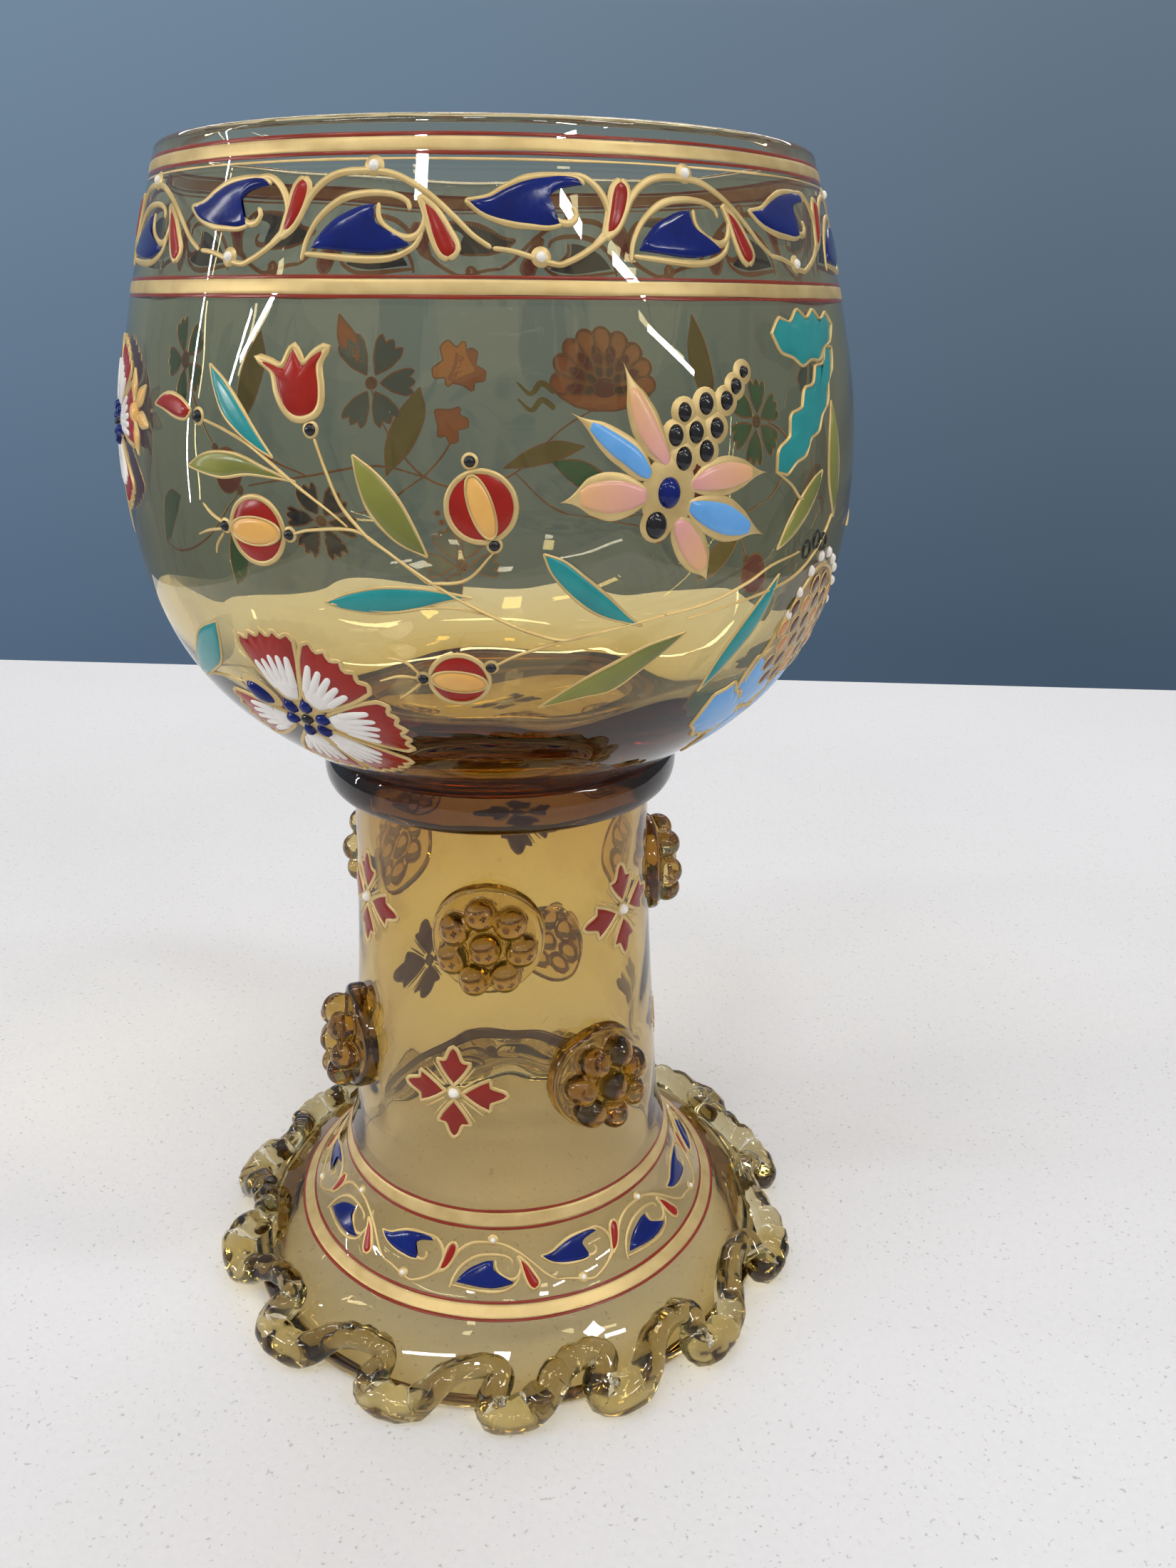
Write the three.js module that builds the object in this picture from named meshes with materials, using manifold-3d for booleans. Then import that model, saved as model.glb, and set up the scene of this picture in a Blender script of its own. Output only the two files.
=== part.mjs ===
// A roemer: a blown glass goblet with a barrel bowl on a hollow stem that flares into the foot.
// The pieces were gathered and fused hot: bowl, collar thread, stem with foot, six raspberry
// prunts on the stem, and one wavy thread trailed over the edge of the foot.
// Millimetres, +Z up, origin on the table under the middle of the foot. -Y is the front.

import * as THREE from 'three';
import { mergeVertices } from 'three/addons/utils/BufferGeometryUtils.js';
import Module from 'manifold-3d';

// Driving dimensions
const HEIGHT = 153.4;              // table to rim
const RIM_RADIUS = 38;             // outside, at the top
const BOWL_RADIUS = 44.9;          // outside, at the widest
const BOWL_WIDEST_Z = 118;
const BOWL_BASE_Z = 81.3;          // flat underside of the bowl, on the collar and the stem
const BOWL_BASE_RADIUS = 23.8;
const BOWL_FLOOR_Z = 86.3;         // inside, at the lowest
const BOWL_WALL = 2.2;
const RIM_WALL = 1.9;

const STEM_TOP_RADIUS = 20.6;      // outside, under the bowl
const STEM_FOOT_RADIUS = 23;       // outside, where the flare starts
const STEM_FOOT_Z = 25;
const STEM_WALL = 2.1;

const FOOT_BREAK_RADIUS = 31.4;    // where the steep flare turns into the slope of the foot
const FOOT_BREAK_Z = 8.6;
const FOOT_RADIUS = 40;
const FOOT_EDGE_ROUND = 1.05;      // radius of the foot's rounded edge
const FOOT_EDGE_TOP = 1.7;         // height where the slope runs into the rounded edge
const FOOT_WALL = 2.2;
const REST_INNER_RADIUS = 36.8;    // the foot rests on a flat ring out to its edge

// Handles of the curves between those points, as [radius, height]. They give the glass its
// blown outline; the points they join stay where the dimensions above put them.
const BOWL_LOW_HANDLES = [[28.8, 86.4], [BOWL_RADIUS, 91.4]];
const BOWL_HIGH_HANDLES = [[BOWL_RADIUS, 123.4], [BOWL_RADIUS, 129.7]];
const BOWL_INNER_LOW_HANDLES = [[BOWL_RADIUS - BOWL_WALL, 92.9], [34.5, BOWL_FLOOR_Z]];
const STEM_HANDLES = [[20.2, 62], [22, 42]];
const STEM_INNER_HANDLES = [[19.8, 42], [18.1, 62]];
const FLARE_HANDLES = [[23.5, 19.6], [27.4, 11.4]];
const FLARE_INNER_HANDLES = [[26.1, 9], [21.5, 18]];
const SLOPE_HANDLES = [[34.4, 6.8], [38.6, 4.6]];
const SLOPE_INNER_HANDLES = [[35.8, 2.7], [33.4, 4.6]];

const COLLAR_RADIUS = 24.2;        // outside of the roll under the bowl
const COLLAR_Z = 79.2;             // height of its widest line
const COLLAR_BULGE = 1.55;         // the roll's section is half an ellipse, this far out
const COLLAR_HALF_HEIGHT = 3.1;    // and this far up and down, cut off by the bowl above

const PRUNT_RADIUS = 7.5;
const PRUNT_EDGE = 1.9;            // how far the edge of a prunt stands off the stem
const PRUNT_BEVEL = 0.8;
const PRUNT_CROWN = 2.9;           // and its middle, under the beads
const PRUNT_DEPTH = 2;             // how far the blank reaches into the stem before it is cut
const BEAD_RADIUS = 2;
const BEAD_RING_RADIUS = 4.95;
const BEADS_IN_RING = 7;
const BEAD_LIFT = 3.9;             // height of the middle bead's centre over the stem
const BEAD_RING_DROP = 0.4;        // the beads of the ring sit this much lower

const THREAD_RADIUS = 2.05;
const THREAD_INNER_RADIUS = 38;    // middle of the thread at an inward turn
const THREAD_OUTER_RADIUS = 42.4;  // and at an outward one
const THREAD_LOBE = 0.042;         // how steep the legs between its turns are; 0 is a sine wave
const THREAD_FLAT = 0.12;          // how broad its turns are; 0 is a sine wave
const THREAD_LEAN = 6;             // degrees that the inward turns were dragged sideways
// Azimuths of the outward turns, in degrees from the front, towards +X. They are uneven
// because the thread was pinched by hand.
const THREAD_TURNS = [-1, 19, 41, 68, 98, 123, 146, 168, 190, 211, 233, 257, 284, 310, 337];
const THREAD_STEPS = 12;           // points along the path from one outward turn to the next
const THREAD_SIDES = 8;

const GAP = 0.3;                   // room left between curved pieces that touch
const ROUND = 48;                  // sides of every turned piece
const STEM_STEPS = [4, 6];         // points down the outside of the stem, and of the flare

const GLASS = { bowl: 0x8a8866, stem: 0xb08c3c, collar: 0x5a3d12, thread: 0x8c7640, prunt: 0x7d6220 };

const v2 = (r, z) => new THREE.Vector2(r, z);
const curve = (a, [b, c], d) => new THREE.CubicBezierCurve(a, v2(...b), v2(...c), d);
const rad = THREE.MathUtils.degToRad;

function glass(color) {
  return new THREE.MeshStandardMaterial({ color, roughness: 0.04, metalness: 0 });
}

// Points along a chain of curves that meet end to end, each shared end given once.
function chain(curves, steps) {
  const points = [curves[0].getPoint(0)];
  curves.forEach((curve, i) => {
    for (let k = 1; k <= steps[i]; k++) points.push(curve.getPoint(k / steps[i]));
  });
  return points;
}

// Points of a quarter or half round in the profile plane, both ends left out.
function roundOff(centre, radius, from, to, steps) {
  const points = [];
  for (let k = 1; k < steps; k++) {
    const a = rad(from + (to - from) * k / steps);
    points.push(v2(centre.x + radius * Math.cos(a), centre.y + radius * Math.sin(a)));
  }
  return points;
}

// A turned solid about Z. Its profile runs upwards on the outside, so that the faces point out.
function turned(profile, sides = ROUND) {
  return new THREE.LatheGeometry(profile, sides).rotateX(Math.PI / 2);
}

// From the top of the stem down and out to the foot's edge, in three curves.
function stemOutside() {
  const flare = v2(STEM_FOOT_RADIUS, STEM_FOOT_Z);
  const slope = v2(FOOT_BREAK_RADIUS, FOOT_BREAK_Z);
  return [
    curve(v2(STEM_TOP_RADIUS, BOWL_BASE_Z), STEM_HANDLES, flare),
    curve(flare, FLARE_HANDLES, slope),
    curve(slope, SLOPE_HANDLES, v2(FOOT_RADIUS, FOOT_EDGE_TOP)),
  ];
}

// From the ring the foot rests on, up the inside to the top.
function stemInside() {
  const slope = v2(FOOT_BREAK_RADIUS - FOOT_WALL / 2, FOOT_BREAK_Z - FOOT_WALL);
  const flare = v2(STEM_FOOT_RADIUS - STEM_WALL, STEM_FOOT_Z);
  return [
    curve(v2(REST_INNER_RADIUS, 0), SLOPE_INNER_HANDLES, slope),
    curve(slope, FLARE_INNER_HANDLES, flare),
    curve(flare, STEM_INNER_HANDLES, v2(STEM_TOP_RADIUS - STEM_WALL, BOWL_BASE_Z)),
  ];
}

// The bowl: a barrel drawn in at the rim, with a thick closed floor.
function bowl() {
  const widest = v2(BOWL_RADIUS, BOWL_WIDEST_Z);
  const lipZ = HEIGHT - RIM_WALL / 2;
  const outside = chain([
    curve(v2(BOWL_BASE_RADIUS, BOWL_BASE_Z), BOWL_LOW_HANDLES, widest),
    curve(widest, BOWL_HIGH_HANDLES, v2(RIM_RADIUS, lipZ)),
  ], [7, 5]);
  const inner = v2(BOWL_RADIUS - BOWL_WALL, BOWL_WIDEST_Z);
  const [low, high] = BOWL_HIGH_HANDLES.map(([r, z]) => [r - BOWL_WALL, z]);
  const inside = chain([
    curve(v2(RIM_RADIUS - RIM_WALL, lipZ), [high, low], inner),
    curve(inner, BOWL_INNER_LOW_HANDLES, v2(0, BOWL_FLOOR_Z)),
  ], [5, 7]);
  const rim = roundOff(v2(RIM_RADIUS - RIM_WALL / 2, lipZ), RIM_WALL / 2, 0, 180, 4);
  return turned([v2(0, BOWL_BASE_Z), ...outside, ...rim, ...inside]);
}

// The collar: one fat ring wound hot over the joint, tight under the bowl.
function collar() {
  const bore = STEM_TOP_RADIUS + GAP;
  const core = COLLAR_RADIUS - COLLAR_BULGE;
  const cut = Math.asin((BOWL_BASE_Z - COLLAR_Z) / COLLAR_HALF_HEIGHT);
  const steps = 8;
  const profile = [v2(bore, COLLAR_Z - COLLAR_HALF_HEIGHT)];
  for (let k = 0; k <= steps; k++) {
    const a = -Math.PI / 2 + (cut + Math.PI / 2) * k / steps;
    profile.push(v2(core + COLLAR_BULGE * Math.cos(a), COLLAR_Z + COLLAR_HALF_HEIGHT * Math.sin(a)));
  }
  profile.push(v2(bore, BOWL_BASE_Z), profile[0]);
  return turned(profile);
}

// Stem and foot: blown in one, open underneath, standing on a flat ring.
function stemFoot() {
  const outside = chain(stemOutside(), [...STEM_STEPS, 4]).reverse();
  const edge = v2(FOOT_RADIUS - FOOT_EDGE_ROUND, FOOT_EDGE_ROUND);
  const inside = chain(stemInside(), [3, 5, 3]).reverse();
  const under = [v2(edge.x, 0), ...roundOff(edge, FOOT_EDGE_ROUND, -90, 10, 3)];
  const profile = [...under, ...outside, ...inside];
  return turned([...profile, profile[0]]);
}

// Height of the middle of a thread that rests on the foot: a ball rolled over its profile.
function threadHeight(r, profile, reach) {
  let z = THREAD_RADIUS;
  for (const p of profile) {
    const d = Math.abs(r - p.x);
    if (d < reach) z = Math.max(z, p.y + Math.sqrt(reach * reach - d * d));
  }
  return z;
}

// Middle line of the thread: one closed wave, in over the foot and out past its edge.
function threadPath() {
  const profile = chain(stemOutside().slice(2), [60]);
  const edge = v2(FOOT_RADIUS - FOOT_EDGE_ROUND, FOOT_EDGE_ROUND);
  profile.push(...roundOff(edge, FOOT_EDGE_ROUND, 90, -20, 12));
  const mean = (THREAD_OUTER_RADIUS + THREAD_INNER_RADIUS) / 2;
  const swing = (THREAD_OUTER_RADIUS - THREAD_INNER_RADIUS) / 2;
  const path = [];
  THREAD_TURNS.forEach((turn, i) => {
    const next = i + 1 < THREAD_TURNS.length ? THREAD_TURNS[i + 1] : THREAD_TURNS[0] + 360;
    for (let k = 0; k < THREAD_STEPS; k++) {
      const phase = 2 * Math.PI * k / THREAD_STEPS;
      const share = k / THREAD_STEPS + THREAD_LOBE * Math.sin(2 * phase);
      const lean = THREAD_LEAN * (1 - Math.cos(phase)) / 2;
      const a = rad(turn + (next - turn) * share + lean);
      const wave = (Math.cos(phase) - THREAD_FLAT * Math.cos(3 * phase)) / (1 - THREAD_FLAT);
      const r = mean + swing * wave;
      const z = threadHeight(r, profile, THREAD_RADIUS + GAP);
      path.push(new THREE.Vector3(r * Math.sin(a), -r * Math.cos(a), z));
    }
  });
  return path;
}

// The trailed thread: a round section swept along its path, closed on itself.
function footThread() {
  const path = threadPath();
  const positions = [];
  const index = [];
  const up = new THREE.Vector3(0, 0, 1);
  path.forEach((p, i) => {
    const before = path[(i + path.length - 1) % path.length];
    const after = path[(i + 1) % path.length];
    const along = after.clone().sub(before).normalize();
    const side = along.clone().cross(up).normalize();
    const normal = side.clone().cross(along);
    for (let j = 0; j < THREAD_SIDES; j++) {
      const a = 2 * Math.PI * j / THREAD_SIDES;
      const q = p.clone().addScaledVector(side, THREAD_RADIUS * Math.cos(a));
      q.addScaledVector(normal, THREAD_RADIUS * Math.sin(a));
      positions.push(q.x, q.y, q.z);
    }
  });
  for (let i = 0; i < path.length; i++) {
    const here = i * THREAD_SIDES;
    const there = (i + 1) % path.length * THREAD_SIDES;
    for (let j = 0; j < THREAD_SIDES; j++) {
      const m = (j + 1) % THREAD_SIDES;
      index.push(here + j, there + j, there + m);
      index.push(here + j, there + m, here + m);
    }
  }
  const geometry = new THREE.BufferGeometry();
  geometry.setAttribute('position', new THREE.Float32BufferAttribute(positions, 3));
  geometry.setIndex(index);
  return geometry;
}

const wasm = await Module();
wasm.setup();

function solid(geometry) {
  const plain = geometry.clone();
  plain.deleteAttribute('normal');
  plain.deleteAttribute('uv');
  const merged = mergeVertices(plain, 1e-4);
  return new wasm.Manifold(new wasm.Mesh({
    numProp: 3,
    vertProperties: new Float32Array(merged.attributes.position.array),
    triVerts: new Uint32Array(merged.index.array),
  }));
}

function geometryOf(manifold) {
  const mesh = manifold.getMesh();
  const geometry = new THREE.BufferGeometry();
  geometry.setAttribute('position', new THREE.BufferAttribute(new Float32Array(mesh.vertProperties), 3));
  geometry.setIndex(new THREE.BufferAttribute(new Uint32Array(mesh.triVerts), 1));
  return geometry;
}

function stemRadiusAt(z) {
  const points = chain(stemOutside().slice(0, 2), STEM_STEPS);
  const i = points.findIndex((p) => p.y <= z);
  const [above, below] = [points[i - 1], points[i]];
  return THREE.MathUtils.mapLinear(z, above.y, below.y, above.x, below.x);
}

// The stem with the working gap round it, which every prunt's back is cut to.
const stemCutter = solid(turned([
  v2(0, FOOT_BREAK_Z),
  ...chain(stemOutside().slice(0, 2), STEM_STEPS).reverse().map((p) => v2(p.x + GAP, p.y)),
  v2(0, BOWL_BASE_Z),
]));

// A raspberry prunt: a blob pressed on with a stamp, one bead in the middle and a ring round it.
function prunt(azimuth, z, turn) {
  const button = turned([
    v2(0, -PRUNT_DEPTH), v2(PRUNT_RADIUS, -PRUNT_DEPTH), v2(PRUNT_RADIUS, PRUNT_EDGE - PRUNT_BEVEL),
    v2(PRUNT_RADIUS - PRUNT_BEVEL, PRUNT_EDGE), v2(PRUNT_RADIUS / 2, PRUNT_CROWN), v2(0, PRUNT_CROWN),
  ], 16);
  let form = solid(button);
  for (let k = 0; k <= BEADS_IN_RING; k++) {
    const inRing = k < BEADS_IN_RING;
    const a = rad(turn) + 2 * Math.PI * k / BEADS_IN_RING;
    const out = inRing ? BEAD_RING_RADIUS : 0;
    const lift = inRing ? BEAD_LIFT - BEAD_RING_DROP : BEAD_LIFT;
    const bead = new THREE.SphereGeometry(BEAD_RADIUS, 8, 5).rotateX(Math.PI / 2);
    bead.translate(out * Math.cos(a), out * Math.sin(a), lift);
    form = form.add(solid(bead));
  }
  const geometry = geometryOf(form);
  // Local Z points out of the stem, local Y up.
  const a = rad(azimuth);
  const outwards = new THREE.Vector3(Math.sin(a), -Math.cos(a), 0);
  const up = new THREE.Vector3(0, 0, 1);
  const across = up.clone().cross(outwards);
  const place = new THREE.Matrix4().makeBasis(across, up, outwards);
  place.setPosition(outwards.clone().multiplyScalar(stemRadiusAt(z)).setZ(z));
  geometry.applyMatrix4(place);
  return geometryOf(solid(geometry).subtract(stemCutter));
}

const roemer = new THREE.Group();

function add(name, geometry, color) {
  const mesh = new THREE.Mesh(geometry, glass(color));
  mesh.name = name;
  roemer.add(mesh);
}

add('bowl', bowl(), GLASS.bowl);
add('collar', collar(), GLASS.collar);
add('stem_foot', stemFoot(), GLASS.stem);
add('foot_thread', footThread(), GLASS.thread);

// Name, azimuth from the front towards +X, height, turn of the stamp.
const PRUNTS = [
  ['prunt_upper_front', -6, 61, 97],
  ['prunt_upper_right', 104, 59.5, 80],
  ['prunt_upper_back', 236, 60, 110],
  ['prunt_lower_right', 33, 38.2, 70],
  ['prunt_lower_back', 160, 37.5, 90],
  ['prunt_lower_left', 286, 37.8, 100],
];
for (const [name, azimuth, z, turn] of PRUNTS) add(name, prunt(azimuth, z, turn), GLASS.prunt);

export default roemer;
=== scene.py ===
import math

import bmesh
import bpy
import numpy as np
from mathutils import Matrix, Vector


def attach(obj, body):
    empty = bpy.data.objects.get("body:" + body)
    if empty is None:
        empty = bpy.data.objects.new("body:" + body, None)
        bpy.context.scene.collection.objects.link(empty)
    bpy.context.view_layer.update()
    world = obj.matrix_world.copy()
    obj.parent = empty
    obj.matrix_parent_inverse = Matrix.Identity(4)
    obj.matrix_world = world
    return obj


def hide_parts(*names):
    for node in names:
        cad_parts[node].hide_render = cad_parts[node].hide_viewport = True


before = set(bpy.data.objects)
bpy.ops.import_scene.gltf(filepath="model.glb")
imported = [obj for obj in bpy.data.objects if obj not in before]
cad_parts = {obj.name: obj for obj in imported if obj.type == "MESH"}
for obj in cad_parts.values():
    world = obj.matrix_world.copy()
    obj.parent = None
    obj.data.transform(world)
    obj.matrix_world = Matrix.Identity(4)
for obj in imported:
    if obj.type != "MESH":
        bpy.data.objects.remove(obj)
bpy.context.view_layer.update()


# Bowl
# The drinking bowl is blown as a barrel, drawn in towards the rim and fire-polished there.
# It is clear glass with a greenish grey tint, and its floor is left thick where the stem joins.
MM = 0.001
HEIGHT = 153.4
RIM_RADIUS = 38
RIM_WALL = 1.9
BOWL_RADIUS = 44.9
BOWL_WALL = 2.2
BOWL_WIDEST_Z = 118
BOWL_BASE_Z = 81.3
BOWL_BASE_RADIUS = 23.8
BOWL_FLOOR_Z = 86.3
LIP_Z = HEIGHT - RIM_WALL / 2
SHOULDER_Z = (123.4, 129.7)
ROUND_SIDES = 192
SHARP_ANGLE = 40
STAIN_CLOUD = 10
EVEN_UNDER_RIM = 1.5
EVEN_AT_AXIS = 4
THINNEST_WALL = 0.6
WAVES = [(3, 0.11, 0, 1.0), (5, -0.23, 1, 0.7), (8, 0.4, 2, 0.5), (13, -0.55, 0, 0.35)]


class Wire:
    """One shader output that takes part in Python sums; each sum adds its Math node."""

    def __init__(self, finish, socket):
        self.finish = finish
        self.socket = socket

    def math(self, operation, *values):
        sockets = dict(enumerate((self, *values)))
        return self.finish.node("Math", {"operation": operation}, sockets)

    def __add__(self, other):
        return self.math("ADD", other)

    def __mul__(self, other):
        return self.math("MULTIPLY", other)

    def __sub__(self, other):
        return self.math("SUBTRACT", other)

    def __rsub__(self, other):
        return self.finish.node("Math", {"operation": "SUBTRACT"}, {0: other, 1: self})


class Finish:
    """A material while it is put together, node by node."""

    def __init__(self, name, tree=None):
        if tree is None:
            self.material = bpy.data.materials.new(name)
            self.material.use_nodes = True
            tree = self.material.node_tree
        self.tree = tree
        self.tree.nodes.clear()

    def node(self, kind, settings=None, sockets=None, out=0):
        node = self.tree.nodes.new("ShaderNode" + kind)
        for key, value in (settings or {}).items():
            if key == "stops":
                ramp = node.color_ramp.elements
                while len(ramp) < len(value):
                    ramp.new(0.5)
                for element, (place, color) in zip(ramp, value):
                    element.position = place
                    element.color = color
            else:
                setattr(node, key, value)
        for key, value in (sockets or {}).items():
            if isinstance(value, Wire):
                self.tree.links.new(value.socket, node.inputs[key])
            else:
                node.inputs[key].default_value = value
        return Wire(self, node.outputs[out]) if node.outputs else node

    def mix(self, factor, a, b):
        return self.node("Mix", {"data_type": "RGBA"}, {0: factor, 6: a, 7: b}, out=2)


def srgb(r, g, b):
    """A colour written as it looks on screen, 0 to 255, as the linear one that shaders take."""
    shares = (r / 255, g / 255, b / 255)
    linear = [c / 12.92 if c <= 0.04045 else ((c + 0.055) / 1.055) ** 2.4 for c in shares]
    return (*linear, 1)


def hot_glass(name, absorbs, ripple, ripple_size, passes=0.85, stain_and_shade=None):
    """Clear glass that takes so much red, green and blue out of the light on each metre.

    Each face passes a share of the lamp light that goes through. The tint, with painted shade
    where its stops darken, gives the colour of one wall at each height, in stops from the table to the
    bowl.
    """
    finish = Finish(name)
    sockets = {"Base Color": (1, 1, 1, 1), "Roughness": 0.0, "IOR": 1.5, "Transmission Weight": 1.0}
    place = finish.node("TexCoord", out="Object")
    if stain_and_shade:
        height = finish.node("SeparateXYZ", {}, {0: place}, out="Z")
        cloud = finish.node("TexNoise", {}, {"Vector": place, "Scale": 40.0, "Detail": 2.0})
        share = (height + cloud * STAIN_CLOUD * MM - STAIN_CLOUD / 2 * MM) * (1 / (BOWL_BASE_Z * MM))
        # The ramp colours each wall by height: the glass's own tint, and painted shade where a stop is
        # darker.
        sockets["Base Color"] = finish.node("ValToRGB", {"stops": stain_and_shade}, {0: share})
    wave = finish.node("TexNoise", {}, {"Vector": place, "Scale": ripple_size, "Detail": 1.0})
    sockets["Normal"] = finish.node("Bump", {}, {"Height": wave, "Strength": 1.0, "Distance": ripple})
    body = finish.node("BsdfPrincipled", {}, sockets)
    lamp = finish.node("LightPath", out="Is Shadow Ray")
    through = finish.node("BsdfTransparent", {}, {"Color": (passes, passes, passes - 0.01, 1)})
    surface = finish.node("MixShader", {}, {0: lamp, 1: body, 2: through})
    density = max(absorbs)
    color = tuple(1 - share / density for share in absorbs) + (1,)
    volume = finish.node("VolumeAbsorption", {}, {"Color": color, "Density": density})
    finish.node("OutputMaterial", {}, {"Surface": surface, "Volume": volume})
    return finish.material


def bezier(start, handles, end, steps):
    """Points of a curve after its start, each as radius and height."""
    points = np.array([start, *handles, end], float)
    t = np.linspace(0, 1, steps + 1)[1:, None]
    weights = np.hstack([(1 - t) ** 3, 3 * t * (1 - t) ** 2, 3 * t**2 * (1 - t), t**3])
    return [tuple(p) for p in weights @ points]


def arc(center, radius, start, end, steps):
    angles = np.radians(np.linspace(start, end, steps + 1))
    return [(center[0] + radius * math.cos(a), center[1] + radius * math.sin(a)) for a in angles]


def piece(name, bm, material):
    """A mesh in millimetres becomes a smooth piece of the object, fixed to it."""
    bmesh.ops.scale(bm, vec=(MM, MM, MM), verts=bm.verts)
    bmesh.ops.recalc_face_normals(bm, faces=bm.faces)
    mesh = bpy.data.meshes.new(name)
    bm.to_mesh(mesh)
    bm.free()
    mesh.shade_smooth()
    mesh.set_sharp_from_angle(angle=math.radians(SHARP_ANGLE))
    mesh.materials.append(material)
    obj = bpy.data.objects.new(name, mesh)
    bpy.context.scene.collection.objects.link(obj)
    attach(obj, "root")
    return obj


def turned(profile, closed=False):
    """A round body: a line of radius and height turned about the upright axis."""
    bm = bmesh.new()
    rings = []
    for r, z in profile:
        if r < 1e-6:
            rings.append([bm.verts.new((0, 0, z))])
            continue
        angles = [2 * math.pi * k / ROUND_SIDES for k in range(ROUND_SIDES)]
        rings.append([bm.verts.new((r * math.sin(a), -r * math.cos(a), z)) for a in angles])
    pairs = list(zip(rings, rings[1:]))
    if closed:
        pairs.append((rings[-1], rings[0]))
    for low, high in pairs:
        for k in range(ROUND_SIDES):
            m = (k + 1) % ROUND_SIDES
            if len(low) == 1:
                bm.faces.new((low[0], high[m], high[k]))
            elif len(high) == 1:
                bm.faces.new((low[k], low[m], high[0]))
            else:
                bm.faces.new((low[k], low[m], high[m], high[k]))
    return bm


def waved(bm, outside, depth):
    """The inner face of blown glass is never quite even: it waves by so much at each height."""
    heights, radii = np.array(sorted((z, r) for r, z in outside)).T
    for vertex in bm.verts:
        x, y, z = vertex.co
        r = math.hypot(x, y)
        inside = EVEN_AT_AXIS < r < np.interp(z, heights, radii) - THINNEST_WALL
        if not inside or not heights[0] < z < heights[-1] - EVEN_UNDER_RIM:
            continue
        a = math.atan2(x, -y)
        wave = sum(size * math.sin(lobes * a + climb * z + start) for lobes, climb, start, size in WAVES)
        grown = 1 + 0.5 * depth(z) * wave / r
        vertex.co = (x * grown, y * grown, z)


widest = (BOWL_RADIUS, BOWL_WIDEST_Z)
bowl_outside = [(BOWL_BASE_RADIUS, BOWL_BASE_Z)]
bowl_outside += bezier(bowl_outside[-1], [(28.8, 86.4), (BOWL_RADIUS, 91.4)], widest, 48)
shoulder = [(BOWL_RADIUS, z) for z in SHOULDER_Z]
bowl_outside += bezier(widest, shoulder, (RIM_RADIUS, LIP_Z), 36)
INNER_RADIUS = BOWL_RADIUS - BOWL_WALL
widest_inside = (INNER_RADIUS, BOWL_WIDEST_Z)
shoulder = [(INNER_RADIUS, z) for z in reversed(SHOULDER_Z)]
bowl_inside = [(RIM_RADIUS - RIM_WALL, LIP_Z)]
bowl_inside += bezier(bowl_inside[-1], shoulder, widest_inside, 36)
low = [(INNER_RADIUS - 0.7, 95.4), (33.4, BOWL_FLOOR_Z)]
bowl_inside += bezier(widest_inside, low, (0, BOWL_FLOOR_Z), 48)
rim = arc((RIM_RADIUS - RIM_WALL / 2, LIP_Z), RIM_WALL / 2, 0, 180, 12)[1:-1]
bowl_glass = hot_glass("bowl_glass", (38, 74, 212), ripple=0.00004, ripple_size=45)
bm = turned([(0, BOWL_BASE_Z), *bowl_outside, *rim, *bowl_inside])
waved(bm, bowl_outside, lambda z: 0.05 + 0.27 * min(1, max(0, (112 - z) / 14)))
bowl = piece("bowl_blown", bm, bowl_glass)
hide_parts("bowl")


# Stem and foot
# Blown in one with an open, flared foot, of amber glass that is paler where it spreads thin.
# It is fused to the underside of the bowl, and stands on a flat ring at its edge.
FUSED = 0.1
STEM_TOP_RADIUS = 20.6
STEM_WALL = 2.1
STEM_FOOT = (23, 25)
FOOT_BREAK = (31.4, 8.6)
FOOT_RADIUS = 40
FOOT_WALL = 1.5
FOOT_EDGE_ROUND = 1.05
FOOT_EDGE_TOP = 1.7
REST_INNER_RADIUS = 36.8

stem_outside = [(STEM_TOP_RADIUS, BOWL_BASE_Z)]
stem_outside += bezier(stem_outside[-1], [(20.2, 62), (22, 42)], STEM_FOOT, 40)
stem_outside += bezier(stem_outside[-1], [(23.5, 19.6), (27.4, 11.4)], FOOT_BREAK, 30)
slope = bezier(FOOT_BREAK, [(34.4, 6.8), (38.6, 4.6)], (FOOT_RADIUS, FOOT_EDGE_TOP), 20)
stem_outside += slope
edge_center = (FOOT_RADIUS - FOOT_EDGE_ROUND, FOOT_EDGE_ROUND)
foot_edge = arc(edge_center, FOOT_EDGE_ROUND, 10, -90, 10)
stem_inside = [(REST_INNER_RADIUS, 0)]
inner_break = (FOOT_BREAK[0] - FOOT_WALL / 2, FOOT_BREAK[1] - FOOT_WALL)
inner_foot = (STEM_FOOT[0] - STEM_WALL, STEM_FOOT[1])
stem_inside += bezier(stem_inside[-1], [(35.8, 2.7), (33.4, 4.6)], inner_break, 20)
inner_top = STEM_TOP_RADIUS - STEM_WALL
stem_inside += bezier(inner_break, [(26.1, 9), (21.5, 18)], inner_foot, 30)
stem_inside += bezier(inner_foot, [(19.8, 42), (18.1, 62)], (inner_top, BOWL_BASE_Z), 40)
ends = [(inner_top, BOWL_BASE_Z + FUSED), (STEM_TOP_RADIUS, BOWL_BASE_Z + FUSED)]
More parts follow.
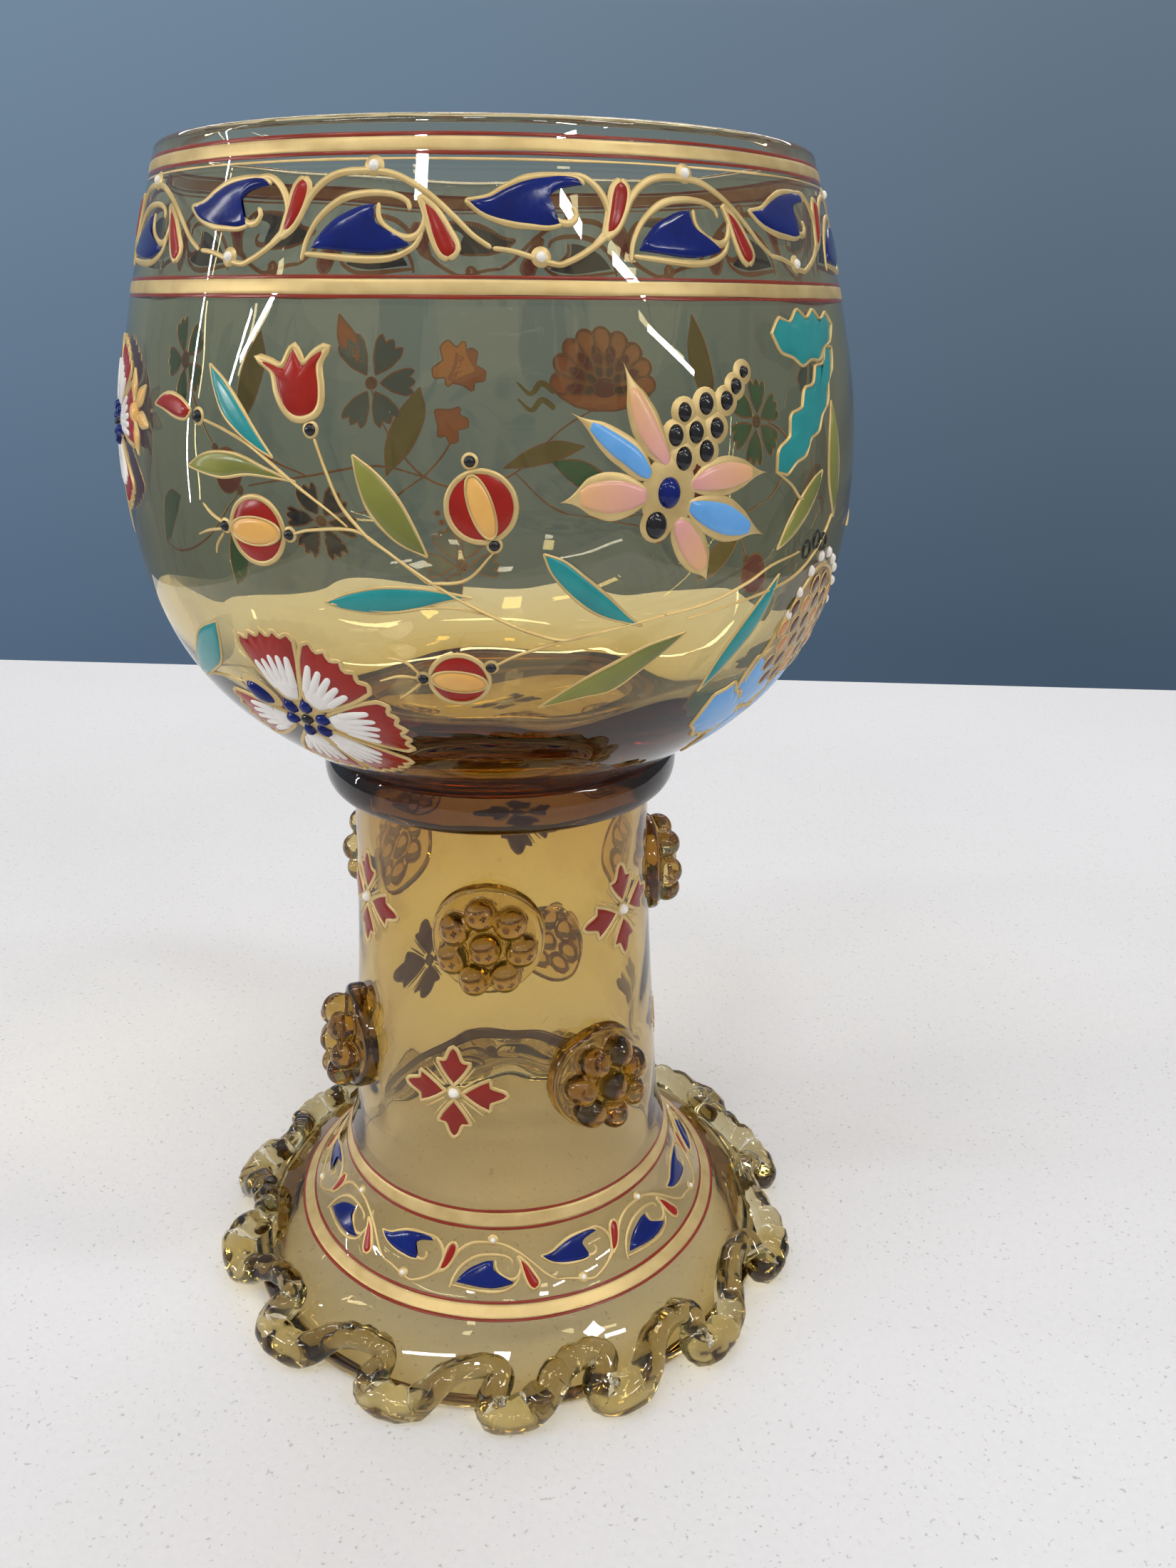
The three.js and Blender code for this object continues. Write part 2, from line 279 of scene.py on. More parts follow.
# Stops of the stem's amber tint by height; the last one, darker in every colour, is painted shade of the
# collar on the top of the stem.
AMBER_AND_COLLAR_SHADE = [
    (0.05, (0.97, 0.98, 0.95, 1)),
    (0.28, (0.98, 0.91, 0.7, 1)),
    (0.62, (0.99, 0.89, 0.54, 1)),
    (0.8, (0.97, 0.84, 0.46, 1)),
    (1.0, (0.74, 0.56, 0.26, 1)),
]
stem_glass = hot_glass("stem_glass", (85, 124, 228), 0.00004, 45, passes=0.6, stain_and_shade=AMBER_AND_COLLAR_SHADE)
bm = turned([*stem_outside, *foot_edge, *stem_inside, *ends], closed=True)
waved(bm, stem_outside, lambda z: (0.2 if z < 34 else 0.12) if 6 < z < 78 else 0)
stem = piece("stem_blown", bm, stem_glass)
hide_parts("stem_foot")


# Collar
# One fat ring of deeper amber, wound hot over the joint of bowl and stem.
# It is thick, so that it looks dark brown, and its upper side is flattened against the bowl.
COLLAR_RADIUS = 24.2
COLLAR_Z = 79.2
COLLAR_BULGE = 1.55
COLLAR_HALF_HEIGHT = 3.1

collar_core = COLLAR_RADIUS - COLLAR_BULGE
collar_bore = STEM_TOP_RADIUS - FUSED
collar_cut = math.asin((BOWL_BASE_Z + FUSED - COLLAR_Z) / COLLAR_HALF_HEIGHT)
collar_line = [(collar_bore, COLLAR_Z - COLLAR_HALF_HEIGHT)]
for a in np.linspace(-math.pi / 2, collar_cut, 25):
    z = COLLAR_Z + COLLAR_HALF_HEIGHT * math.sin(a)
    collar_line.append((collar_core + COLLAR_BULGE * math.cos(a), z))
collar_line.append((collar_bore, BOWL_BASE_Z + FUSED))
collar_glass = hot_glass("collar_glass", (290, 420, 740), ripple=0.00025, ripple_size=150)
collar = piece("collar_wound", turned(collar_line, closed=True), collar_glass)
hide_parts("collar")


# Raspberry prunts
# Six blobs of hot amber pressed on the stem with a stamp, which leaves one bead in the middle
# and a ring of seven round it. Three sit high and three low, staggered round the stem.
PRUNTS = [
    ("prunt_upper_front", -6, 61, 97),
    ("prunt_upper_right", 104, 59.5, 80),
    ("prunt_upper_back", 236, 60, 110),
    ("prunt_lower_right", 33, 38.2, 70),
    ("prunt_lower_back", 160, 37.5, 90),
    ("prunt_lower_left", 286, 37.8, 100),
]
PRUNT_RADIUS = 7.5
PRUNT_EDGE = 1.9
PRUNT_BEVEL = 0.8
PRUNT_CROWN = 2.7
BEAD_RADIUS = 2.1
BEAD_RING_RADIUS = 4.65
BEADS_IN_RING = 7
BEAD_LIFT = 3.8
BEAD_RING_DROP = 0.4
PRUNT_VOXEL = 0.22


def stem_radius(z):
    heights = [p[1] for p in reversed(stem_outside)]
    radii = [p[0] for p in reversed(stem_outside)]
    return float(np.interp(z, heights, radii))


def remeshed(bm, voxel, smoothing):
    """Forms that run into each other become one skin, with the seams between them melted."""
    mesh = bpy.data.meshes.new("blank")
    bm.to_mesh(mesh)
    bm.free()
    blank = bpy.data.objects.new("blank", mesh)
    bpy.context.scene.collection.objects.link(blank)
    melt = blank.modifiers.new("melt", "REMESH")
    melt.mode = "VOXEL"
    melt.voxel_size = voxel
    soften = blank.modifiers.new("soften", "SMOOTH")
    soften.iterations = smoothing
    soften.factor = 0.5
    shown = blank.evaluated_get(bpy.context.evaluated_depsgraph_get())
    result = bmesh.new()
    result.from_mesh(shown.to_mesh())
    shown.to_mesh_clear()
    bpy.data.objects.remove(blank)
    bpy.data.meshes.remove(mesh)
    return result


prunt_glass = hot_glass("prunt_glass", (80, 138, 330), ripple=0.00003, ripple_size=200, passes=0.9)
for name, azimuth, height, turn in PRUNTS:
    blob = [(0, -FUSED), (PRUNT_RADIUS, -FUSED), (PRUNT_RADIUS, PRUNT_EDGE - PRUNT_BEVEL)]
    blob += arc((PRUNT_RADIUS - PRUNT_BEVEL, PRUNT_EDGE - PRUNT_BEVEL), PRUNT_BEVEL, 0, 90, 6)[1:]
    blob += [(PRUNT_RADIUS / 2, PRUNT_CROWN), (0, PRUNT_CROWN)]
    bm = turned(blob)
    for k in range(BEADS_IN_RING + 1):
        in_ring = k < BEADS_IN_RING
        a = math.radians(turn) + 2 * math.pi * k / BEADS_IN_RING
        out = BEAD_RING_RADIUS if in_ring else 0
        lift = BEAD_LIFT - BEAD_RING_DROP if in_ring else BEAD_LIFT
        place = Matrix.Translation((out * math.cos(a), out * math.sin(a), lift))
        bmesh.ops.create_uvsphere(bm, u_segments=24, v_segments=16, radius=BEAD_RADIUS, matrix=place)
    bm = remeshed(bm, PRUNT_VOXEL, 2)
    for vertex in bm.verts:
        x, y, lift = vertex.co
        z = height + y
        r = stem_radius(z) + lift
        a = math.radians(azimuth) + x / (stem_radius(z) + max(lift, 0))
        vertex.co = (r * math.sin(a), -r * math.cos(a), z)
    prunt = piece(name + "_pressed", bm, prunt_glass)
    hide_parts(name)


# Foot thread
# One thread of smoky amber, trailed hot over the edge of the foot in fifteen waves and closed
# on itself. It was drawn by hand, so that its waves are uneven and it is thicker at the turns.
THREAD_RADIUS = 2.05
THREAD_SWELL = 0.35
THREAD_INNER_RADIUS = 38
THREAD_OUTER_RADIUS = 42.6
THREAD_RIDGE = 0.15
THREAD_LOBE = 0.06
THREAD_LEAN = 6
THREAD_TURNS = [-1, 19, 41, 68, 98, 123, 146, 168, 190, 211, 233, 257, 284, 310, 337]
THREAD_STEPS = 40
THREAD_SIDES = 24
THREAD_SUNK = 0.15
THREAD_UNEVEN = (0.12, 0.1)
THREAD_LUMPS = (0.055, 0.04)


def thread_height(r, thickness):
    """Height of the middle of a thread that rests on the foot, sunk a little into it."""
    reach = thickness - THREAD_SUNK
    z = thickness
    for pr, pz in [*slope, *foot_edge]:
        if abs(r - pr) < reach:
            z = max(z, pz + math.sqrt(reach**2 - (r - pr) ** 2))
    return z


thread_path = []
for i, start in enumerate(THREAD_TURNS):
    end = (THREAD_TURNS + [THREAD_TURNS[0] + 360])[i + 1]
    for k in range(THREAD_STEPS):
        phase = 2 * math.pi * k / THREAD_STEPS
        share = k / THREAD_STEPS + THREAD_LOBE * math.sin(2 * phase)
        a = math.radians(start + (end - start) * share + THREAD_LEAN * (1 - math.cos(phase)) / 2)
        r = (THREAD_OUTER_RADIUS + THREAD_INNER_RADIUS) / 2
        r += (THREAD_OUTER_RADIUS - THREAD_INNER_RADIUS) / 2 * math.cos(phase)
        thickness = THREAD_RADIUS + THREAD_SWELL * math.cos(phase)
        thickness += THREAD_UNEVEN[0] * math.sin(3 * a) + THREAD_UNEVEN[1] * math.sin(7 * a)
        thickness += THREAD_RIDGE * math.sin(100 * a) * (0.6 + 0.4 * math.sin(11 * a))
        point = Vector((r * math.sin(a), -r * math.cos(a), thread_height(r, thickness)))
        thread_path.append((point, thickness))
bm = bmesh.new()
rings = []
for i, (point, thickness) in enumerate(thread_path):
    along = (thread_path[(i + 1) % len(thread_path)][0] - thread_path[i - 1][0]).normalized()
    side = along.cross(Vector((0, 0, 1))).normalized()
    up = side.cross(along)
    ring = []
    for j in range(THREAD_SIDES):
        a = 2 * math.pi * j / THREAD_SIDES
        lump = 1 + THREAD_LUMPS[0] * math.sin(3 * a + 0.21 * i)
        lump += THREAD_LUMPS[1] * math.sin(5 * a - 0.37 * i)
        ring.append(bm.verts.new(point + thickness * lump * (math.cos(a) * side + math.sin(a) * up)))
    rings.append(ring)
for here, there in zip(rings, rings[1:] + rings[:1]):
    for j in range(THREAD_SIDES):
        m = (j + 1) % THREAD_SIDES
        bm.faces.new((here[j], there[j], there[m], here[m]))
thread_glass = hot_glass("thread_glass", (98, 128, 245), ripple=0.00005, ripple_size=300, passes=0.95)
thread = piece("foot_thread_trailed", bm, thread_glass)
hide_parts("foot_thread")


# Gilt bands
# Two bands round the rim and two round the foot, of burnished gold brushed on and fired.
# Each lies between two thin dark red enamel lines, and a pale gold line runs under the upper one.
SUNK = 0.06
EDGE = 0.03
FILL_ROWS = 30
LINE_STEP = 0.45
LINE_SIDES = 7
MERGED = 0.002


class Skin:
    """The outside of a turned piece as a sheet to paint on: degrees round it, and a place along it."""

    def __init__(self, line, along, outwards):
        line = np.array(line, float)
        step = np.gradient(line, axis=0)
        step /= np.hypot(*step.T)[:, None]
        self.r, self.z = line.T
        self.run = np.concatenate([[0], np.cumsum(np.hypot(*np.diff(line, axis=0).T))])
        self.rise = outwards
        self.along = self.run if along is None else np.array(along, float)
        self.nr = outwards * step[:, 1]
        self.nz = -outwards * step[:, 0]

    def at(self, places, lift=0.0):
        azimuth, along = np.radians(places[..., 0]), places[..., 1]
        r = np.interp(along, self.along, self.r) + lift * np.interp(along, self.along, self.nr)
        z = np.interp(along, self.along, self.z) + lift * np.interp(along, self.along, self.nz)
        return np.stack([r * np.sin(azimuth), -r * np.cos(azimuth), z], -1)

    def normal(self, places):
        return self.at(places, 1.0) - self.at(places)


def drawn(points, steps=6, closed=False):
    """A smooth line through the points, as a brush would draw it."""
    points = np.array(points, float)
    if closed:
        points = np.vstack([points[-1], points, points[:2]])
    else:
        points = np.vstack([2 * points[0] - points[1], points, 2 * points[-1] - points[-2]])
    t = np.linspace(0, 1, steps + 1)[:-1, None]
    pieces = []
    for a, b, c, d in zip(points, points[1:], points[2:], points[3:]):
        pieces.append(b + 0.5 * t * (c - a + t * (2 * a - 5 * b + 4 * c - d + t * (3 * (b - c) + d - a))))
    line = np.vstack(pieces)
    return line if closed else np.vstack([line, points[-2]])


def evenly(line, count):
    """The same line with so many points, evenly spaced."""
    line = np.array(line, float)
    run = np.concatenate([[0], np.cumsum(np.hypot(*np.diff(line, axis=0).T))])
    wanted = np.linspace(0, run[-1], count)
    return np.stack([np.interp(wanted, run, line[:, k]) for k in (0, 1)], -1)


def turn_to(flat, angle):
    """Millimetres along and across a motif, turned to its angle."""
    x, y = np.array(flat, float).T
    a = math.radians(angle)
    return np.stack([x * math.cos(a) - y * math.sin(a), x * math.sin(a) + y * math.cos(a)], -1)


class Paint:
    """Colours laid on one skin. Every colour of a motif is fired as one raised layer."""

    def __init__(self, skin):
        self.skin = skin
        self.layers = {}

    def grid(self, color, top, bottom, tone, closed):
        """A closed shell from two grids of points, one over the glass and one just in it."""
        points, faces, tones, unders = self.layers.setdefault(color, ([], [], [], []))
        start = sum(len(p) for p in points)
        rows, columns = top.shape[:2]
        points += [top.reshape(-1, 3), bottom.reshape(-1, 3)]
        tones.append(np.tile(tone.reshape(-1), 2))
        # The lower grid is flagged as the underside, where the materials paint shade.
        unders.append(np.repeat([0.0, 1.0], rows * columns))
        under = rows * columns

        def spot(i, j, layer):
            return start + layer * under + (i % rows) * columns + j

        last_row = rows if closed else rows - 1
        last = columns - 1
        walls = []
        for i in range(last_row):
            for j in range(last):
                corners = [(i, j), (i + 1, j), (i + 1, j + 1), (i, j + 1)]
                faces.append([spot(*c, 0) for c in corners])
                faces.append([spot(*c, 1) for c in reversed(corners)])
            walls += [((i, 0), (i + 1, 0)), ((i + 1, last), (i, last))]
        if not closed:
            for j in range(last):
                walls += [((0, j + 1), (0, j)), ((last_row, j), (last_row, j + 1))]
        faces += [[spot(*b, 0), spot(*a, 0), spot(*a, 1), spot(*b, 1)] for a, b in walls]

    def fill(self, color, left, right, height=0.28, across=8, closed=False, base=0.0):
        """Enamel flooded between two edges that run the same way."""
        if closed:
            left, right = np.array(left, float), np.array(right, float)
        else:
            left, right = evenly(left, FILL_ROWS), evenly(right, FILL_ROWS)
        u = (1 - np.cos(np.linspace(0, math.pi, across + 1))) / 2
        places = left[:, None] + (right - left)[:, None] * u[None, :, None]
        ground = self.skin.at(places)
        width = np.linalg.norm(ground[:, -1] - ground[:, 0], axis=-1)
        s = np.linspace(0, 1, len(left))
        ends = np.ones(len(left)) if closed else np.sqrt(np.clip(1 - np.abs(2 * s - 1) ** 10, 0, 1))
        crown = np.sqrt(np.clip(1 - np.abs(2 * u - 1) ** 3, 0, 1))
        full = np.minimum(1, width / 1.5) ** 0.7 * ends
        lift = base - EDGE + (height + EDGE) * full[:, None] * crown[None, :]
        tone = np.repeat(s[:, None], across + 1, 1)
        bottom = self.skin.at(places, base - SUNK)
        self.grid(color, self.skin.at(places, lift), bottom, tone, closed)

    def drop(self, color, outline, center=None, height=0.28, flat=4.0, rings=7, base=0.0):
        """Enamel dropped inside a closed outline, highest in its middle."""
        outline = np.array(outline, float)
        center = outline.mean(0) if center is None else np.array(center, float)
        t = np.sin(np.linspace(0, math.pi / 2, rings + 1))
        places = outline[:, None] + (center - outline)[:, None] * t[None, :, None]
        lift = base - EDGE + (height + EDGE) * np.sqrt(np.clip(1 - (1 - t) ** flat, 0, 1))
        tone = np.repeat(t[None, :], len(outline), 0)
        bottom = self.skin.at(places, base - SUNK)
        self.grid(color, self.skin.at(places, lift[None, :]), bottom, tone, True)

    def bead(self, color, center, radius, height, base=0.0, sides=20, stretch=1.0, tilt=0.0):
        self.drop(color, self.ring(center, radius, sides, stretch, tilt), center, height, 2.0, 5, base)

    def ring(self, center, radius, sides=24, stretch=1.0, tilt=0.0):
        """A round outline of so many millimetres about a place; stretched along its tilt."""
        a = np.linspace(0, 2 * math.pi, sides, endpoint=False)
        flat = np.stack([radius * stretch * np.cos(a), radius * np.sin(a)], -1)
        return self.around(center, turn_to(flat, tilt))

    def around(self, center, flat):
        """Places a few millimetres from a center, right and up as seen from outside."""
        flat = np.array(flat, float)
        run = np.interp(center[1], self.skin.along, self.skin.run) + self.skin.rise * flat[:, 1]
        along = np.interp(run, self.skin.run, self.skin.along)
        r = np.interp(along, self.skin.along, self.skin.r)
        return np.stack([center[0] + np.degrees(flat[:, 0] / r), along], -1)

    def line(self, color, points, width, height=0.22, closed=False, ends=(1, 1), smooth=True, base=0.0):
        """A raised line, as laid with a fine brush; its ends are round and may run out thin."""
        places = drawn(points, 8) if smooth else np.array(points, float)
        if closed:
            places = np.vstack([places, places[:1]])
        ground = self.skin.at(places)
        run = np.concatenate([[0], np.cumsum(np.linalg.norm(np.diff(ground, axis=0), axis=-1))])
        length = run[-1]
        if closed:
            s = np.linspace(0, length, max(8, int(length / LINE_STEP)), endpoint=False)
            shape = np.ones(len(s))
        else:
            half = min(width, length) / 2
            tip = half * (1 - np.cos(np.linspace(0, math.pi / 2, 5)))
            middle = np.linspace(half, length - half, max(2, int(length / LINE_STEP)))
            s = np.concatenate([tip[:-1], middle, length - tip[::-1][1:]])
            near = np.clip(np.minimum(s, length - s) / half, 0, 1)
            taper = np.interp(s, [0, length / 2, length], [ends[0], 1, ends[1]])
            shape = np.sqrt(1 - (1 - near) ** 2) * taper
        places = np.stack([np.interp(s, run, places[:, k]) for k in (0, 1)], -1)
        ground = self.skin.at(places)
        normal = self.skin.normal(places)
        if closed:
            along = np.roll(ground, -1, 0) - np.roll(ground, 1, 0)
        else:
            along = np.gradient(ground, axis=0)
        side = np.cross(along, normal)
        side /= np.linalg.norm(side, axis=-1)[:, None]
        a = np.linspace(0, math.pi, LINE_SIDES)
        out = np.cos(a)[None, :] * shape[:, None] * width / 2
        lift = base - EDGE + (height + EDGE) * np.sin(a)[None, :] * np.sqrt(shape)[:, None]
        flat = ground[:, None] + side[:, None] * out[..., None]
        top = flat + normal[:, None] * lift[..., None]
        bottom = flat + normal[:, None] * (base - SUNK)
        tone = np.repeat((s / length)[:, None], LINE_SIDES, 1)
        self.grid(color, top, bottom, tone, closed)

    def fired(self, motif, palette):
        """Each colour of the motif becomes one piece of the object."""
        for color, (points, faces, tones, unders) in self.layers.items():
            bm = bmesh.new()
            tone = bm.verts.layers.float.new("tone")
            under = bm.verts.layers.float.new("under")
            values = zip(*(np.concatenate(held) for held in (points, tones, unders)))
            for place, value, below in values:
                vertex = bm.verts.new(place)
                vertex[tone] = value
                vertex[under] = below
            bm.verts.ensure_lookup_table()
            for face in faces:
                bm.faces.new([bm.verts[k] for k in face])
            bmesh.ops.remove_doubles(bm, verts=bm.verts, dist=MERGED)
            material, slot = palette[color]
            piece(motif + "_" + color, bm, material)
        self.layers = {}


def gold_paint(name):
    finish = Finish(name)
    place = finish.node("TexCoord", out="Object")
    patch = finish.node("TexNoise", {}, {"Vector": place, "Scale": 350.0, "Detail": 4.0})
    grain = finish.node("TexNoise", {}, {"Vector": place, "Scale": 2600.0, "Detail": 2.0})
    color = finish.mix(patch, srgb(180, 148, 88), srgb(228, 204, 146))
    # Painted shade: the back of the gold, seen through the glass, is dull dark brown and not metallic.
    under = finish.node("Attribute", {"attribute_name": "under"}, out="Fac")
    color = finish.mix(under, color, srgb(118, 76, 46))
    relief = {"Height": patch * 0.6 + grain * 0.4, "Strength": 0.5, "Distance": 0.00003}
    sockets = {"Base Color": color, "Metallic": 0.5 - under * 0.5, "Roughness": patch * 0.3 + 0.26}
    sockets["Normal"] = finish.node("Bump", {}, relief)
    finish.node("OutputMaterial", {}, {"Surface": finish.node("BsdfPrincipled", {}, sockets)})
    return finish.material


def enamel(name, deep, light, tint=None, roughness=0.14, shine=0.5):
    """Opaque glass paste, clouded from one tone to the other, and darkened by painted shade where it is
    seen from behind.
    """
    finish = Finish(name)
    place = finish.node("TexCoord", out="Object")
    cloud = finish.node("TexNoise", {}, {"Vector": place, "Scale": 300.0, "Detail": 3.0})
    pits = finish.node("TexNoise", {}, {"Vector": place, "Scale": 1800.0, "Detail": 2.0})
    color = finish.mix(cloud, srgb(*deep), srgb(*light))
    if tint:
        along = finish.node("Attribute", {"attribute_name": "tone"}, out="Fac")
        color = finish.mix(along, color, srgb(*tint))
    # Painted shade: the underside, seen from behind through the glass, is set darker than the paste's own
    # colour.
    under = finish.node("Attribute", {"attribute_name": "under"}, out="Fac")
    color = finish.mix(under, color, srgb(*[0.85 * share for share in deep]))
    relief = {"Height": cloud * 0.7 + pits * 0.3, "Strength": 0.5, "Distance": 0.00004}
    sockets = {"Base Color": color, "Roughness": pits * 0.16 + roughness, "Specular IOR Level": shine}
    sockets["Normal"] = finish.node("Bump", {}, relief)
    finish.node("OutputMaterial", {}, {"Surface": finish.node("BsdfPrincipled", {}, sockets)})
    return finish.material


palette = {
    "gold": (gold_paint("raised_gold"), "gilding"),
    "line": (enamel("line_red", (112, 30, 14), (146, 50, 26), shine=0.35), "enamel"),
}
bowl_skin = Skin(bowl_outside, [p[1] for p in bowl_outside], 1)
stem_skin = Skin(stem_outside, None, -1)
BOWL_BANDS = [
    ("line", 151.4, 151.75),
    ("gold", 150.2, 151.38),
    ("line", 149.86, 150.18),
    ("gold", 149.4, 149.62),
    ("line", 139.38, 139.7),
    ("gold", 138.05, 139.36),
    ("line", 137.7, 138.03),
]
FOOT_BANDS = [
    ("line", 61.65, 62.05),
    ("gold", 62.08, 63.95),
    ("line", 63.98, 64.4),
    ("line", 73.75, 74.15),
    ("gold", 74.18, 75.95),
    ("line", 75.98, 76.4),
]
BAND_LIFT = {"gold": 0.05, "line": 0.08}


def hoop(paint, color, low, high):
    """A band brushed on while the glass turned, with edges that waver a little."""
    azimuth = np.arange(0, 360, 2.0)
    turn = np.radians(azimuth)
    waver = 0.03 * np.sin(3 * turn + low) + 0.02 * np.sin(11 * turn + 2 * high) + 0.015 * np.sin(23 * turn)
    left = np.stack([azimuth, low + waver], -1)
    right = np.stack([azimuth, high + 0.6 * waver[::-1]], -1)
    paint.fill(color, left, right, BAND_LIFT[color], 6, closed=True)


for skin, bands, where in ((bowl_skin, BOWL_BANDS, "rim_bands"), (stem_skin, FOOT_BANDS, "foot_bands")):
    paint = Paint(skin)
    for color, low, high in bands:
        hoop(paint, color, low, high)
    paint.fired(where, palette)


# Scroll frieze
# A running vine between the two bands of the rim, and the same one smaller on the foot.
# Leaves of cobalt blue and drops of red are flooded in between raised gold scrolls, with
# a white pearl above and below in every turn.
palette["cobalt"] = (enamel("cobalt_blue", (0, 8, 66), (2, 34, 122), roughness=0.06, shine=0.32), "enamel")
palette["red"] = (enamel("iron_red", (126, 14, 6), (166, 32, 16), shine=0.35), "enamel")
palette["pearl"] = (enamel("pearl_white", (226, 218, 204), (250, 246, 236), roughness=0.08), "enamel")
TURN_WIDTH = 43.4
LOWER_PEARL = (6.2, 141.3)
UPPER_PEARL = (28, 148.9)
LEAF_A_TOP = [(-3.5, 146), (-0.5, 146.3), (1.7, 147.1), (4.6, 147.9), (8.1, 148.2), (11.4, 148.1)]
LEAF_A_TOP += [(12.6, 147.5)]
LEAF_A_LOW = [(-3.5, 146.0), (-0.9, 144.8), (2.4, 144.1), (5, 143.9), (7.4, 143.8), (9.2, 144.1)]
LEAF_A_EYE = [(9.2, 144.1), (7.6, 144.8), (7.3, 146.0), (8.5, 146.9), (10.7, 147.3), (12.6, 147.5)]
SCROLL_A = [(9.5, 148.2), (12.2, 148.2), (14.4, 147.2), (15.6, 145.6), (15.3, 143.8), (13.2, 142.3)]
CURL_A = [(7.6, 144.8), (9.2, 144.2), (10.6, 144.3), (11.2, 145.0), (10.6, 145.6)]
DROP_B_LEFT = [(17.8, 148.1), (16.5, 147.2), (15.7, 145.2), (14.8, 142.9)]
DROP_B_RIGHT = [(17.8, 148.1), (18.7, 147.2), (18.2, 145.6), (16.8, 143.9), (14.8, 142.9)]
VINE = [(0, 142), (3, 141.7), (8, 140.7), (10, 141), (12.5, 141.9), (15.5, 143.4), (17.7, 144.9)]
VINE += [(19, 146.4), (20.8, 147.6), (23, 148.3), (26, 148.5), (30, 148.3), (33, 147.5), (36, 146.2)]
VINE += [(38.7, 144.6), (41, 143.1), (43.4, 142)]
LEAF_D_TOP = [(19.6, 142), (20.6, 143.1), (22.4, 144.3), (24.6, 145.1), (26.6, 145.6), (28.2, 145.7)]
LEAF_D_LOW = [(19.6, 142), (22.5, 141.8), (25, 141.6), (28, 141.5), (31, 141.8), (33.2, 142.3)]
LEAF_D_EYE = [(33.2, 142.3), (31.2, 142.6), (29.6, 143.1), (28.6, 143.9), (28.2, 144.8), (28.2, 145.7)]
SCROLL_D = [(18.3, 140.9), (18.9, 142.7), (20.6, 144.6), (23.6, 146.1), (27, 146.6)]
SCROLL_D += [(30.5, 146.5), (32.6, 145.9), (33, 145.1)]
CURL_D = [(28.8, 145.8), (28.9, 144.5), (30.2, 143.5), (32.4, 142.8), (34.2, 143.2)]
CURL_D += [(35, 144.6), (34.6, 146)]
UNDER_D = [(18.7, 141.5), (22, 141.3), (25, 141.1), (28, 141.0), (31, 141.2), (33.6, 142.1), (34.6, 143.4)]
DROP_C_LEFT = [(34.2, 146.4), (35.1, 144.8), (35.9, 143.0), (36.8, 141.6), (38.0, 141.0)]
DROP_C_RIGHT = [(34.2, 146.4), (36.3, 145.2), (38.0, 143.5), (39.1, 142.0), (38.0, 141.0)]


def scroll_turn(paint, place, brush):
    """One turn of the vine, as it is laid between two lower pearls."""
    paint.fill("cobalt", place(drawn(LEAF_A_TOP)), place(drawn(LEAF_A_LOW + LEAF_A_EYE[1:])), 0.3)
    paint.fill("cobalt", place(drawn(LEAF_D_TOP)), place(drawn(LEAF_D_LOW + LEAF_D_EYE[1:])), 0.3)
    for left, right in ((DROP_B_LEFT, DROP_B_RIGHT), (DROP_C_LEFT, DROP_C_RIGHT)):
        paint.fill("red", place(drawn(left)), place(drawn(right)), 0.3)
        paint.line("gold", place(drawn(left)), brush, 0.18, smooth=False)
        paint.line("gold", place(drawn(right)), brush, 0.18, smooth=False)
    lines = [LEAF_A_TOP, LEAF_A_LOW, SCROLL_A, CURL_A, VINE, SCROLL_D, CURL_D, UNDER_D]
    for points in lines:
        paint.line("gold", place(drawn(points)), brush, 0.18, smooth=False, ends=(0.6, 0.6))
    for pearl in (LOWER_PEARL, UPPER_PEARL):
        center = place(np.array([pearl]))[0]
        paint.bead("gold", center, brush * 1.25, 0.2)
        paint.bead("pearl", center, brush * 0.75, brush * 0.7)


def frieze(paint, starts, level, brush):
    for here, there in zip(starts, starts[1:] + [starts[0] + 360]):
        stretch = (there - here) / TURN_WIDTH

        def place(points, here=here, stretch=stretch):
            points = np.array(points, float)
            return np.stack([here + (points[:, 0] - LOWER_PEARL[0]) * stretch, level(points[:, 1])], -1)

        scroll_turn(paint, place, brush)


paint = Paint(bowl_skin)
frieze(paint, [-37.5, 6.2, 49.2, 94, 139.3, 184.6, 230, 276], lambda z: z, 0.76)
paint.fired("rim_frieze", palette)
paint = Paint(stem_skin)
frieze(paint, [-31.4, 20, 71.4, 122.8, 174.2, 225.6, 277], lambda z: 65.3 + (149.4 - z) * 0.86, 0.62)
paint.fired("foot_frieze", palette)


# Tulip, bud and pomegranates
# Flowers of the painted spray on the front of the bowl. The red is flooded into a broad
# gold outline; the pomegranates carry a yellow lens, and black beads mark where stems join.
palette["turquoise"] = (enamel("turquoise", (16, 118, 122), (34, 150, 148)), "enamel")
palette["olive"] = (enamel("olive_green", (116, 118, 42), (158, 156, 72), tint=(98, 104, 46)), "enamel")
palette["yellow"] = (enamel("naples_yellow", (214, 150, 70), (236, 188, 104)), "enamel")
palette["black"] = (enamel("black_bead", (6, 6, 10), (18, 18, 26), roughness=0.06), "enamel")
TULIP = [(-31.3, 132.4), (-29.3, 132.1), (-27.4, 131.7), (-26.4, 132.9), (-25.7, 133.5), (-24.9, 132.7)]
TULIP += [(-24.1, 132), (-22.6, 133), (-20.9, 133.5), (-22, 132), (-21.7, 130), (-21.8, 128.3)]
TULIP += [(-22.9, 127.3), (-25, 127), (-26.7, 127.7), (-28, 129.3), (-28.8, 131.2)]
BUD_TOP = [(-52.4, 127.4), (-50.2, 128.3), (-48, 128.6), (-45.4, 128.2), (-43.1, 127.2)]
BUD_LOW = [(-52.4, 127.4), (-49.7, 127.1), (-46.3, 126.4), (-44.2, 126.4), (-43.1, 127.2)]
OUTLINE = 0.8
